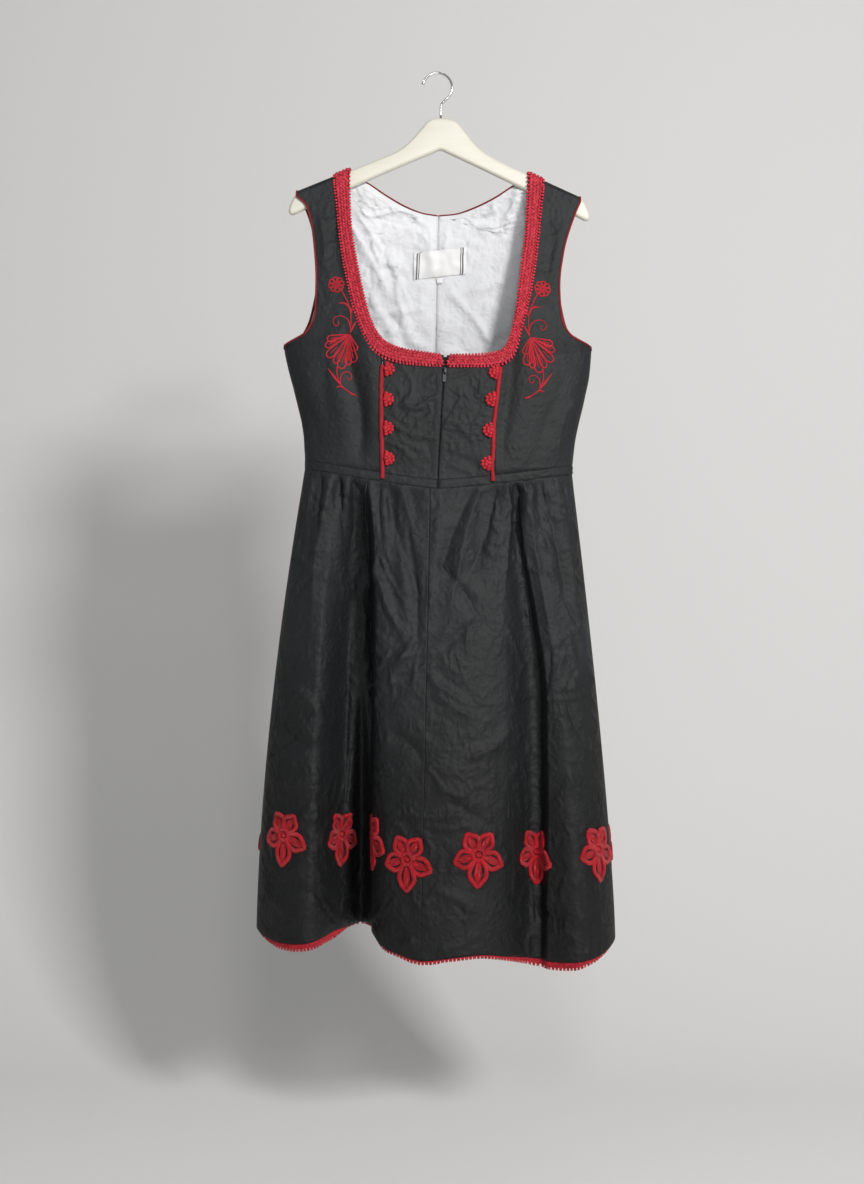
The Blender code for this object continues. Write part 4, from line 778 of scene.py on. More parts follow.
def weave_group():
    """Woven threads with slubs and crinkles: a height, a thread mask and a slow drift of tone."""
    tree, given, out = group(
        "woven cloth",
        (
            ("Threads per metre", "NodeSocketFloat", 1500.0),
            ("Crinkle size", "NodeSocketFloat", 0.012),
            ("Crinkle height", "NodeSocketFloat", 1.0),
        ),
        (("Height", "NodeSocketFloat"), ("Thread", "NodeSocketFloat"), ("Drift", "NodeSocketFloat")),
    )
    place = node(tree, "ShaderNodeUVMap", (-900, 300), uv_map="cloth")
    where = node(tree, "ShaderNodeTexCoord", (-900, -300))
    waves = []
    for axis, spot in (("X", 400), ("Y", 200)):
        wave = node(tree, "ShaderNodeTexWave", (-500, spot), wave_type="BANDS", bands_direction=axis)
        wave.inputs["Distortion"].default_value = 1.2
        wave.inputs["Detail"].default_value = 1.0
        scale = node(tree, "ShaderNodeMath", (-700, spot), operation="MULTIPLY")
        link(tree, given["Threads per metre"], scale.inputs[0])
        scale.inputs[1].default_value = 1 / (2 * math.pi)
        link(tree, scale.outputs[0], wave.inputs["Scale"])
        link(tree, place.outputs[0], wave.inputs["Vector"])
        waves.append(wave)
    thread = node(tree, "ShaderNodeMath", (-250, 300), operation="MULTIPLY")
    link(tree, waves[0].outputs["Fac"], thread.inputs[0])
    link(tree, waves[1].outputs["Fac"], thread.inputs[1])
    per = node(tree, "ShaderNodeMath", (-700, -100), operation="DIVIDE")
    per.inputs[0].default_value = 1.0
    link(tree, given["Crinkle size"], per.inputs[1])
    crinkle = node(tree, "ShaderNodeTexNoise", (-450, -100), noise_type="RIDGED_MULTIFRACTAL", Detail=3.0)
    link(tree, where.outputs["Object"], crinkle.inputs["Vector"])
    link(tree, per.outputs[0], crinkle.inputs["Scale"])
    cells = node(tree, "ShaderNodeTexVoronoi", (-450, -350), feature="DISTANCE_TO_EDGE")
    bent = node(tree, "ShaderNodeVectorMath", (-650, -350), operation="MULTIPLY_ADD")
    bent.inputs[1].default_value = (0.006, 0.006, 0.006)
    link(tree, crinkle.outputs["Color"], bent.inputs[0])
    link(tree, where.outputs["Object"], bent.inputs[2])
    link(tree, bent.outputs[0], cells.inputs["Vector"])
    half = node(tree, "ShaderNodeMath", (-650, -550), operation="MULTIPLY")
    half.inputs[1].default_value = 0.42
    link(tree, per.outputs[0], half.inputs[0])
    link(tree, half.outputs[0], cells.inputs["Scale"])
    ridge = node(tree, "ShaderNodeMapRange", (-250, -350))
    ridge.inputs["From Max"].default_value = 0.10
    link(tree, cells.outputs["Distance"], ridge.inputs["Value"])
    both = node(tree, "ShaderNodeMath", (-50, -200), operation="ADD")
    link(tree, crinkle.outputs["Fac"], both.inputs[0])
    lowered = node(tree, "ShaderNodeMath", (-150, -350), operation="MULTIPLY")
    lowered.inputs[1].default_value = 0.15
    link(tree, ridge.outputs[0], lowered.inputs[0])
    link(tree, lowered.outputs[0], both.inputs[1])
    raised = node(tree, "ShaderNodeMath", (100, -200), operation="MULTIPLY")
    link(tree, both.outputs[0], raised.inputs[0])
    link(tree, given["Crinkle height"], raised.inputs[1])
    fine = node(tree, "ShaderNodeMath", (250, 0), operation="MULTIPLY_ADD")
    fine.inputs[1].default_value = 0.10
    link(tree, thread.outputs[0], fine.inputs[0])
    link(tree, raised.outputs[0], fine.inputs[2])
    drift = node(tree, "ShaderNodeTexNoise", (-450, -650), Scale=9.0, Detail=3.0)
    link(tree, where.outputs["Object"], drift.inputs["Vector"])
    link(tree, fine.outputs[0], out["Height"])
    link(tree, thread.outputs[0], out["Thread"])
    link(tree, drift.outputs["Fac"], out["Drift"])
    return tree


def add_group(tree, inner, place=(-500, 0), **values):
    made = tree.nodes.new("ShaderNodeGroup")
    made.node_tree = inner
    made.location = place
    for key, value in values.items():
        made.inputs[key.replace("_", " ")].default_value = value
    return made


def ramp(tree, low, high, place=(-250, 200)):
    made = node(tree, "ShaderNodeMix", place, data_type="RGBA")
    made.inputs[6].default_value = (*low, 1)
    made.inputs[7].default_value = (*high, 1)
    return made


def bump(tree, shader, height, distance, strength=1.0, place=(-200, -300)):
    made = node(tree, "ShaderNodeBump", place)
    made.inputs["Strength"].default_value = strength
    made.inputs["Distance"].default_value = distance
    link(tree, height, made.inputs["Height"])
    link(tree, made.outputs[0], shader.inputs["Normal"])
    return made


weave = weave_group()


def cloth_finish(name, low, high, rough, distance, threads, crinkle, crinkle_height, **sockets):
    """Woven cloth whose tone drifts and whose threads and crinkles catch the light."""
    made, tree, shader = finish(name, low, rough, **sockets)
    woven = add_group(
        tree, weave, (-700, 0), Threads_per_metre=threads, Crinkle_size=crinkle, Crinkle_height=crinkle_height
    )
    tone = node(tree, "ShaderNodeMath", (-450, 200), operation="MULTIPLY_ADD")
    tone.inputs[1].default_value = 0.45
    link(tree, woven.outputs["Thread"], tone.inputs[0])
    drift = node(tree, "ShaderNodeMapRange", (-650, 300))
    drift.inputs["From Min"].default_value = 0.35
    drift.inputs["From Max"].default_value = 0.65
    drift.inputs["To Max"].default_value = 0.6
    link(tree, woven.outputs["Drift"], drift.inputs["Value"])
    link(tree, drift.outputs[0], tone.inputs[2])
    colour = ramp(tree, low, high)
    link(tree, tone.outputs[0], colour.inputs[0])
    link(tree, colour.outputs[2], shader.inputs["Base Color"])
    bump(tree, shader, woven.outputs["Height"], distance)
    return made


black_cloth = cloth_finish(
    "black cotton", (0.0112, 0.0121, 0.0135), (0.0208, 0.0224, 0.0246), 0.60, 0.0014, 1400.0, 0.009, 1.0,
    Specular_IOR_Level=0.30,
)
# Painted shade: the cloth's colour is darkened towards the hem, standing in for the light that falls off lower down
tree = black_cloth.node_tree
where = node(tree, "ShaderNodeTexCoord", (-900, 600))
apart = node(tree, "ShaderNodeSeparateXYZ", (-700, 600))
# painted shade: full colour high up, darkened to 0.42 of it near the hem
painted_hem_shade = node(tree, "ShaderNodeMapRange", (-500, 600))
for socket, value in (("From Min", -1.12), ("From Max", -0.82), ("To Min", 0.42), ("To Max", 1.0)):
    painted_hem_shade.inputs[socket].default_value = value
shader = tree.nodes["Principled BSDF"]
hem_shaded_colour = node(tree, "ShaderNodeVectorMath", (-100, 500), operation="SCALE")
link(tree, where.outputs["Object"], apart.inputs[0])
link(tree, apart.outputs[2], painted_hem_shade.inputs["Value"])
link(tree, shader.inputs["Base Color"].links[0].from_socket, hem_shaded_colour.inputs[0])
link(tree, painted_hem_shade.outputs[0], hem_shaded_colour.inputs["Scale"])
link(tree, hem_shaded_colour.outputs[0], shader.inputs["Base Color"])
lining_cloth = cloth_finish(
    "pale lining", (0.66, 0.67, 0.70), (0.80, 0.81, 0.83), 0.75, 0.0014, 1700.0, 0.009, 1.0,
    Sheen_Weight=0.1, Specular_IOR_Level=0.3,
)


# Cloth panels
side_fronts, backs, centres = {}, {}, {}


def front_seam_x(side):
    column = 1 if side < 0 else 3
    return lambda drop: smooth(FRONT_LINES, drop, column) + side * SEAM / 2


def back_seam_x(side):
    return lambda drop: side * SEAM / 2


def hold_edges(points, lift, edges, width):
    """Fades a lift out towards the named edges of a panel."""
    along = np.linalg.norm(np.diff(points, axis=1), axis=-1)
    down = np.linalg.norm(np.diff(points, axis=0), axis=-1)
    first = np.concatenate([np.zeros((len(points), 1)), np.cumsum(along, axis=1)], axis=1)
    top = np.concatenate([np.zeros((1, points.shape[1])), np.cumsum(down, axis=0)], axis=0)
    reach = {"first": first, "last": first[:, -1:] - first, "top": top, "bottom": top[-1:] - top}
    for edge in edges:
        lift = lift * eased(reach[edge] / width)
    return lift


def cloth_wall(name, points, turn, lift, face=0, thick=CLOTH):
    """A panel's wall: its plain surface moved out by lift, kept on its own side of the side seam."""
    normals = row_normals(points, turn)
    outer = points + normals * lift[..., None]
    inner = outer - row_normals(outer, turn) * thick
    if face:
        for rows in (outer, inner):
            rows[..., 1] = face * np.maximum(face * rows[..., 1], SEAM / 2)
    return wall_mesh(name, outer, inner), outer


ZIP_LIPS, LIP_PROUD = 0.0004, 0.0005
TUCK, NECK_HOLD, NECK_ROWS, ARM_PULL = 0.0010, 0.022, 74, 0.112


def tucked(plain, side, face):
    """The rows with their last ones drawn down behind the waistband's upper seam."""
    plain = plain.copy()
    high = len(plain)
    for k in range(plain.shape[1]):
        x, _, z = plain[-1, k]
        target = waist_low(side, face, degrees_at(side, face, x, -z)) - WAIST_BAND + TUCK
        plain[:, k, 2] -= (target + z) * eased((np.arange(high) - high * 0.75) / (high * 0.25))
    return plain


def narrowed(point):
    """The back pulled in along its armhole, as a worn dress pulls it on a hanger."""

    def pulled(u, v):
        share = min(max(v - 1.0, 0.0), UNDERARM)
        return point(u * (1 - ARM_PULL * math.sin(math.pi * share / UNDERARM)), v)

    return pulled


skins = {}
SIDE_COLUMNS, SIDE_ROWS = 44, 120
BACK_CREASES = scattered(11, 46, (-0.20, 0.24), (0.20, 0.56), 38.0, (0.05, 0.15), (0.0008, 0.0018))
for side, word in SIDES:
    side_fronts[side] = side_piece(side, FRONT, FRONT_NECK, FRONT_ARMHOLE, front_seam_x(side))
    backs[side] = side_piece(side, BACK, BACK_NECK, BACK_ARMHOLE, back_seam_x(side))
    centres[side] = centre_piece(side)
    wrap = [k / 5 for k in range(5)]
    vs = wrap + [1 + v for v in steps(0.0, 1.0, SIDE_ROWS)]
    us = steps(0.0, 1.0, SIDE_COLUMNS)
    for kind, point, face, creases in (
        ("side_front", side_fronts[side], FRONT, BODICE_CREASES),
        ("back", backs[side], BACK, BACK_CREASES),
    ):
        if kind == "back":
            point = narrowed(point)
        plain = tucked(surface_rows(point, us, vs), side, face)
        lift = crease_relief(plain, creases)
        lift += crumpled(plain, CRUMPLE_BODICE)
        lift = hold_edges(plain, lift, ("last", "top", "bottom"), 0.016)
        held_neck = hold_edges(plain, lift, ("first",), NECK_HOLD)
        below = eased((np.arange(len(plain)) - NECK_ROWS) / 12.0)[:, None]
        lift = held_neck + (lift - held_neck) * below
        if kind == "back":
            lift = hold_edges(plain, lift, ("first",), 0.016)
        name = f"cloth_{kind}_{word}"
        skins[name] = (*cloth_wall(name, plain, side * face, lift, face), f"bodice_{kind}_{word}")
    plain = tucked(surface_rows(centres[side], steps(0.0, 1.0, 40), steps(0.0, 1.0, 70)), side, FRONT)
    away = np.abs(plain[..., 0] - plain[:, :1, 0])
    lips = (1 - eased(away / 0.008)) * eased((-plain[..., 2] - SLIDER_DROP) / 0.008)
    plain[..., 0] -= side * (ZIP_PART - ZIP_LIPS) * lips
    lift = crease_relief(plain, BODICE_CREASES)
    by_seam = 1 - hold_edges(plain, np.ones(lift.shape), ("last",), 0.02)
    lift += crumpled(plain, CRUMPLE_CENTRE) + crumpled(plain, CRUMPLE_BODICE - CRUMPLE_CENTRE) * by_seam
    lift = hold_edges(plain, hold_edges(plain, lift, ("first", "bottom"), 0.010), ("top",), 0.034)
    lift += LIP_PROUD * (1 - eased((away - 0.005) / 0.003)) * eased(away / 0.0015 + 0.3)
    name = f"cloth_centre_{word}"
    skins[name] = (*cloth_wall(name, plain, side * FRONT, lift, FRONT), f"bodice_centre_{word}")


def band_rows(side_word, face, us, vs):
    rows = []
    for v in vs:
        row = []
        for u in us:
            side = side_word or (-1 if u < 0 else 1)
            turn = abs(u) if face == BACK else u
            drop = waist_low(side, face, turn) - WAIST_BAND * (1 - v)
            x, out = ring(side, face, turn, drop)
            row.append((x, face * (out + SEAM / 2), -drop))
        rows.append(row)
    return np.array(rows)


def band_wall(name, plain, turn, face, node_name):
    lift = 0.0013 * crumple(plain, FINE_CRUMPLE_SIZE * 1.4, 6)
    swell = 0.0004 * np.sin(np.linspace(0, math.pi, plain.shape[0]))[:, None]
    lift = hold_edges(plain, lift + swell, ("first", "last", "top", "bottom"), 0.003) + BAND_PROUD * 0.5
    normals = row_normals(plain, turn)
    outer = plain + normals * lift[..., None]
    inner = plain - normals * CLOTH
    for rows in (outer, inner):
        rows[..., 1] = face * np.maximum(face * rows[..., 1], SEAM / 2)
    skins[name] = (wall_mesh(name, outer, inner), outer, node_name)


band_vs = steps(0.0, 1.0, 8)
for side, word in SIDES:
    low = waist_low(side, FRONT, 0) - WAIST_BAND / 2
    start = degrees_at(side, FRONT, smooth(FRONT_LINES, low, 2) + side * ZIP_LIPS, low)
    plain = band_rows(side, FRONT, steps(start, 90.0, 110), band_vs)
    band_wall(f"cloth_waistband_front_{word}", plain, side * FRONT, FRONT, f"waistband_front_{word}")
plain = band_rows(0, BACK, steps(-90.0, 90.0, 200), band_vs)
band_wall("cloth_waistband_back", plain, 1, BACK, "waistband_back")


def even_places(start, stop, count):
    """Places an even distance apart along the hem, with a share for the way it turns."""
    fine = [start + (stop - start) * k / 1200 for k in range(1201)]
    line = skirt_rows(fine, [1.0])[0, :, :2]
    run = np.linalg.norm(np.diff(line, axis=0), axis=1)
    reach = np.concatenate([[0.0], np.cumsum(run)])
    reach = reach / reach[-1] * 0.75 + np.linspace(0, 0.25, len(reach))
    return np.interp(np.linspace(0, 1, count + 1), reach, fine).tolist()


RIGHT_SEAM = float(FOLDS.index(next(row for row in FOLDS if row[0] == 90.0)))
BACK_SEAM = float(FOLDS.index(next(row for row in FOLDS if row[0] == 180.0)))
FRONT_SEAM, SEAM_PLACE = 11.0, 0.004
SKIRT_ROWS = 196
# panel, place where it starts, place where it ends, columns
SKIRT_PANELS = (
    ("front_left", 0.0, FRONT_SEAM, 240),
    ("front_right", FRONT_SEAM, RIGHT_SEAM, 190),
    ("back_right", RIGHT_SEAM, BACK_SEAM, 170),
    ("back_left", BACK_SEAM, float(len(FOLDS)), 170),
)
SKIRT_BACK_CREASES = scattered(21, 90, (-0.24, 0.27), (0.60, 1.22), 26.0, (0.06, 0.22), (0.0010, 0.0024))
FINE_SKIRT_CREASES = tuple(
    scattered(31, 190, (-0.22, 0.25), (0.64, 1.22), 55.0, (0.03, 0.09), (0.0009, 0.0022), (0.0028, 0.0048))
)
# Folds deeper than the solid's: share down the skirt, left x, right x, depth; the right side is the steep one
LEFT_FOLD = (
    (0.00, -0.1190, -0.0900, 0.000),
    (0.05, -0.1330, -0.0860, 0.018),
    (0.15, -0.1480, -0.0810, 0.044),
    (0.35, -0.1600, -0.0760, 0.066),
    (0.60, -0.1650, -0.0740, 0.066),
    (0.85, -0.1640, -0.0740, 0.050),
    (1.00, -0.1600, -0.0740, 0.036),
)
RIGHT_FOLD = (
    (0.00, 0.1000, 0.1200, 0.000),
    (0.10, 0.0960, 0.1300, 0.010),
    (0.25, 0.1020, 0.1500, 0.018),
    (0.45, 0.1080, 0.1720, 0.024),
    (0.80, 0.1080, 0.1780, 0.024),
    (1.00, 0.1060, 0.1800, 0.014),
)


def pressed_in(plain, shares, rows):
    """The front rows with a fold pressed back into the cloth."""
    plain = plain.copy()
    for r, share in enumerate(shares):
        left, right, depth = (smooth(rows, share, column) for column in (1, 2, 3))
        t = (plain[r, :, 0] - left) / (right - left)
        ahead = 1 - eased((plain[r, :, 1] + 0.05) / 0.06)
        plain[r, :, 1] += depth * eased(t / 0.72) * eased((1 - t) / 0.14) * ahead
    return plain


SIDE_SEAM_HOLD = 0.025
skirt_skins = {}
for word, start, stop, columns in SKIRT_PANELS:
    places = even_places(start + SEAM_PLACE, stop + SEAM_PLACE * 2, columns)
    shares = steps(0.0, 1.0, SKIRT_ROWS)
    plain = skirt_rows(places, shares)
    plain[..., 2] += (SKIRT_SEAM + TUCK) * (1 - eased(np.array(shares) / 0.03))[:, None]
    if word.startswith("front"):
        plain = pressed_in(pressed_in(plain, shares, LEFT_FOLD), shares, RIGHT_FOLD)
    facing = -row_normals(plain, -1)[..., 1]
    if word.startswith("front"):
        lift = crease_relief(plain, SKIRT_CREASES + FINE_SKIRT_CREASES) * eased(facing * 1.6 + 0.2)
    else:
        lift = crease_relief(plain, SKIRT_BACK_CREASES)
    lift += crumpled(plain, CRUMPLE_SKIRT, CRUMPLE_SIZE * 1.1) * mix(0.25, 1.0, eased(np.abs(facing) * 1.5))
    lift = hold_edges(plain, lift, ("top", "bottom"), 0.010)
    lift = hold_edges(plain, lift, ("first" if word in ("front_left", "back_right") else "last",), SIDE_SEAM_HOLD)
    name = f"cloth_skirt_{word}"
    mesh, outer = cloth_wall(name, plain, -1, lift)
    skins[name] = (mesh, outer, f"skirt_{word}")
    skirt_skins[word] = (places, shares, outer)


# The lining behind the neck, a seam's width off the back panels
LINING_TOP, LINING_FINE, LINING_SLIM = 0.02, 2, 0.0005
# x, drop, end x, end drop, half width, height
LINING_CREASES = (
    (-0.128, 0.215, -0.070, 0.330, 0.008, 1.0),
    (-0.118, 0.200, -0.030, 0.350, 0.009, 0.9),
    (-0.132, 0.240, -0.098, 0.380, 0.008, -0.9),
    (-0.095, 0.230, -0.060, 0.300, 0.007, -0.8),
    (-0.100, 0.330, -0.050, 0.400, 0.008, 0.9),
    (-0.060, 0.300, -0.040, 0.400, 0.008, 0.8),
    (-0.115, 0.360, -0.020, 0.340, 0.006, 0.7),
    (0.110, 0.290, 0.010, 0.330, 0.008, 0.8),
    (0.100, 0.250, 0.050, 0.300, 0.008, -0.8),
    (0.020, 0.310, 0.090, 0.400, 0.008, 0.9),
    (0.060, 0.320, 0.030, 0.400, 0.008, -0.8),
    (0.060, 0.220, 0.110, 0.210, 0.007, 0.8),
)
lining_skins = {}
for side, word in SIDES:
    outer = skins[f"cloth_back_{word}"][1]
    normals = row_normals(outer, side * BACK)
    first_row = 5 + int(math.ceil(LINING_TOP * SIDE_ROWS))
    outer, normals = outer[first_row:], normals[first_row:]
    columns, high = outer.shape[1], outer.shape[0]
    at = np.linspace(0, columns - 1, (columns - 1) * LINING_FINE + 1)
    i = np.minimum(at.astype(int), columns - 2)
    f = (at - i)[None, :, None]
    outer = outer[:, i] * (1 - f) + outer[:, i + 1] * f
    normals = normals[:, i] * (1 - f) + normals[:, i + 1] * f
    lift = crumple(outer, 0.034, 8) + 0.45 * crumple(outer, 0.014, 9)
    lift = 0.0052 * np.maximum(lift + 0.9 * crease_relief(outer, LINING_CREASES), -0.28) + 0.0020
    lift = hold_edges(outer, lift, ("first", "last", "top", "bottom"), 0.012)
    full = eased(np.arange(high) / 16.0)[:, None]
    behind = outer - normals * (CLOTH + SEAM * mix(0.3, 1.0, full))[..., None]
    inside = behind - normals * (mix(LINING_SLIM, LINING, full) + lift)[..., None]
    for rows in (behind, inside):
        seamed = np.abs(rows[:, 0, 0]) < 0.004
        rows[seamed, 0, 0] = side * SEAM / 2
        rows[:, -1] += (rows[:, -2] - rows[:, -1]) * 0.8
    name = f"cloth_lining_{word}"
    skins[name] = (wall_mesh(name, behind, inside), inside, f"lining_back_{word}")
    lining_skins[side] = inside
# Every panel becomes a piece
for name, (mesh, outer, stands_for) in skins.items():
    pale = "lining" in name
    piece(mesh, lining_cloth if pale else black_cloth, (stands_for,))


# Camera, light and the pale sweep behind
CAMERA_X, CAMERA_Y, CAMERA_Z = 0.0027, -2.3, -0.7636
CAMERA_LENS, CAMERA_SENSOR, CAMERA_ROLL = 47.4, 36.0, 1.2
camera_data = bpy.data.cameras.new("front camera")
camera_data.lens = CAMERA_LENS
camera_data.sensor_fit = "VERTICAL"
camera_data.sensor_height = CAMERA_SENSOR
camera = bpy.data.objects.new("front camera", camera_data)
camera.matrix_world = (
    Matrix.Translation((CAMERA_X, CAMERA_Y, CAMERA_Z))
    @ Matrix.Rotation(math.radians(90), 4, "X")
    @ Matrix.Rotation(math.radians(CAMERA_ROLL), 4, "Z")
)
bpy.context.scene.collection.objects.link(camera)
bpy.context.scene.camera = camera

FLOOR_Z, WALL_Y, SWEEP_RADIUS, SWEEP_HALF = -1.62, 1.20, 0.80, 4.0
profile = [(-5.0, FLOOR_Z), (WALL_Y - SWEEP_RADIUS, FLOOR_Z)]
for k in range(1, 25):
    turn = math.radians(90 * k / 24)
    profile.append((WALL_Y - SWEEP_RADIUS * (1 - math.sin(turn)), FLOOR_Z + SWEEP_RADIUS * (1 - math.cos(turn))))
profile.append((WALL_Y, 3.0))
points = [(x, y, z) for y, z in profile for x in (-SWEEP_HALF, SWEEP_HALF)]
faces = [(2 * k, 2 * k + 1, 2 * k + 3, 2 * k + 2) for k in range(len(profile) - 1)]
sweep_mesh = bpy.data.meshes.new("floor_sweep")
sweep_mesh.from_pydata(points, [], faces)
sweep_mesh.shade_smooth()
sweep = bpy.data.objects.new("floor_sweep", sweep_mesh)
bpy.context.scene.collection.objects.link(sweep)
paper, paper_tree, paper_shader = finish("studio paper", (0.80, 0.795, 0.785), 0.9)
grit = node(paper_tree, "ShaderNodeTexNoise", (-500, 0), Scale=60.0, Detail=4.0)
where = node(paper_tree, "ShaderNodeTexCoord", (-700, 0))
link(paper_tree, where.outputs["Object"], grit.inputs["Vector"])
bump(paper_tree, paper_shader, grit.outputs["Fac"], 0.002, 0.2)
# The sweep is clear from behind, so that the back of the dress can be looked at
faced = node(paper_tree, "ShaderNodeNewGeometry", (-700, -300))
shown = node(paper_tree, "ShaderNodeMath", (-500, -300), operation="SUBTRACT")
shown.inputs[0].default_value = 1.0
link(paper_tree, faced.outputs["Backfacing"], shown.inputs[1])
link(paper_tree, shown.outputs[0], paper_shader.inputs["Alpha"])
sweep_mesh.materials.append(paper)


def area_light(name, place, aim, size, power, colour=(1, 1, 1)):
    data = bpy.data.lights.new(name, "AREA")
    data.shape = "RECTANGLE"
    data.size, data.size_y = size
    data.energy = power
    data.color = colour
    made = bpy.data.objects.new(name, data)
    toward = (Vector(aim) - Vector(place)).normalized()
    made.matrix_world = Matrix.Translation(place) @ toward.to_track_quat("-Z", "Y").to_matrix().to_4x4()
    bpy.context.scene.collection.objects.link(made)


area_light("key", (1.35, -2.7, 0.59), (0.0, 0.1, -0.60), (0.50, 0.50), 80.0, (1.0, 0.985, 0.96))
area_light("front", (0.20, -2.9, 0.45), (0.0, 0.1, -0.60), (0.45, 0.45), 14.0, (1.0, 0.99, 0.975))
world = bpy.data.worlds.new("soft room")
world.use_nodes = True
world.node_tree.nodes["Background"].inputs["Color"].default_value = (0.86, 0.87, 0.89, 1)
world.node_tree.nodes["Background"].inputs["Strength"].default_value = 0.30
bpy.context.scene.world = world
bpy.context.scene.view_settings.view_transform = "Standard"


# The dressed front as one surface, to lay trims on
def skin_tree(names):
    points, faces, count = [], [], 0
    for name in names:
        rows = skins[name][1]
        high, wide = rows.shape[:2]
        points += rows.reshape(-1, 3).tolist()
        r, c = np.meshgrid(np.arange(high - 1), np.arange(wide - 1), indexing="ij")
        a = (r * wide + c).ravel() + count
        faces += np.stack([a, a + 1, a + wide + 1, a + wide], axis=1).tolist()
        count += high * wide
    return BVHTree.FromPolygons(points, faces)


front_tree = skin_tree([name for name in skins if "front" in name or "centre" in name])


def on_front(x, drop, reach=0.0025):
    """The point and outward direction of the dressed front seen at x and a drop."""

    def hit(x, drop):
        spot, normal, _, _ = front_tree.ray_cast(Vector((x, -1.0, -drop)), Vector((0, 1, 0)))
        return spot

    spot = hit(x, drop)
    if spot is None:
        spot, normal, _, _ = front_tree.find_nearest(Vector((x, -0.06, -drop)))
        return spot, (normal if normal.y < 0 else -normal)
    left, right, up, down = hit(x - reach, drop), hit(x + reach, drop), hit(x, drop - reach), hit(x, drop + reach)
    across = (right or spot) - (left or spot)
    fall = (down or spot) - (up or spot)
    if abs(across.y) > 3 * reach or across.length < 1e-6:
        across = Vector((1, 0, 0))
    if abs(fall.y) > 3 * reach or fall.length < 1e-6:
        fall = Vector((0, 0, -1))
    out = fall.cross(across).normalized()
    return spot, (out if out.y < 0 else -out)


def curve_through(points, count, closed=False):
    """Evenly spaced points on a smooth curve through flat points."""
    points = [Vector(p) for p in points]
    total = len(points)
    dense = []
    spans = total if closed else total - 1
    for i in range(spans):
        p = [points[(i + k) % total] if closed else points[min(max(i + k, 0), total - 1)] for k in (-1, 0, 1, 2)]
        for j in range(12):
            t = j / 12
            dense.append(
                0.5
                * (
                    2 * p[1]
                    + (p[2] - p[0]) * t
                    + (2 * p[0] - 5 * p[1] + 4 * p[2] - p[3]) * t * t
                    + (3 * p[1] - p[0] - 3 * p[2] + p[3]) * t**3
                )
            )
    dense.append(points[0] if closed else points[-1])
    flat = np.array([tuple(p) for p in dense])
    run = np.concatenate([[0.0], np.cumsum(np.linalg.norm(np.diff(flat, axis=0), axis=1))])
    at = np.linspace(0, run[-1], count + 1)
    if closed:
        at = at[:-1]
    return np.stack([np.interp(at, run, flat[:, k]) for k in range(flat.shape[1])], axis=1)


DOME = [(-1.0, -0.25), (-0.88, 0.45), (-0.5, 0.88), (0.0, 1.0), (0.5, 0.88), (0.88, 0.45), (1.0, -0.25), (0.0, -0.5)]


def cord_mesh(name, cords, profile=DOME):
    """Raised cords on a surface. Each is (spots, outs, half widths, heights, closed)."""
    points, faces, uvs = [], [], []
    sides = len(profile)
    for spots, outs, halves, heights, closed in cords:
        spots, outs = np.asarray(spots, float), np.asarray(outs, float)
        count, base = len(spots), len(points)
        if closed:
            tangent = np.roll(spots, -1, axis=0) - np.roll(spots, 1, axis=0)
        else:
            tangent = np.gradient(spots, axis=0)
        tangent /= np.maximum(np.linalg.norm(tangent, axis=1, keepdims=True), 1e-9)
        across = np.cross(tangent, outs)
        across /= np.maximum(np.linalg.norm(across, axis=1, keepdims=True), 1e-9)
        run = np.concatenate([[0.0], np.cumsum(np.linalg.norm(np.diff(spots, axis=0), axis=1))])
        for i in range(count):
            for a, b in profile:
                points.append(spots[i] + across[i] * (a * halves[i]) + outs[i] * (b * heights[i]))
                uvs.append((run[i], a * halves[i]))
        for i in range(count if closed else count - 1):
            j = (i + 1) % count
            for k in range(sides):
                m = (k + 1) % sides
                faces.append((base + i * sides + k, base + i * sides + m, base + j * sides + m, base + j * sides + k))
        if not closed:
            faces.append(tuple(base + k for k in range(sides))[::-1])
            faces.append(tuple(base + (count - 1) * sides + k for k in range(sides)))
    return plain_mesh(name, points, faces, uvs)


def plain_mesh(name, points, faces, uvs=None):
    """A mesh whose shells all face out, with a UV map where one is given."""
    mesh = bpy.data.meshes.new(name)
    mesh.from_pydata([tuple(p) for p in points], [], faces)
    if uvs is not None:
        flat = np.array(uvs, np.float32)
        loops = np.empty(len(mesh.loops), np.int32)
        mesh.loops.foreach_get("vertex_index", loops)
        mesh.uv_layers.new(name="cloth").data.foreach_set("uv", flat[loops].ravel())
    work = bmesh.new()
    work.from_mesh(mesh)
    bmesh.ops.recalc_face_normals(work, faces=work.faces)
    work.to_mesh(mesh)
    work.free()
    mesh.shade_smooth()
    return mesh


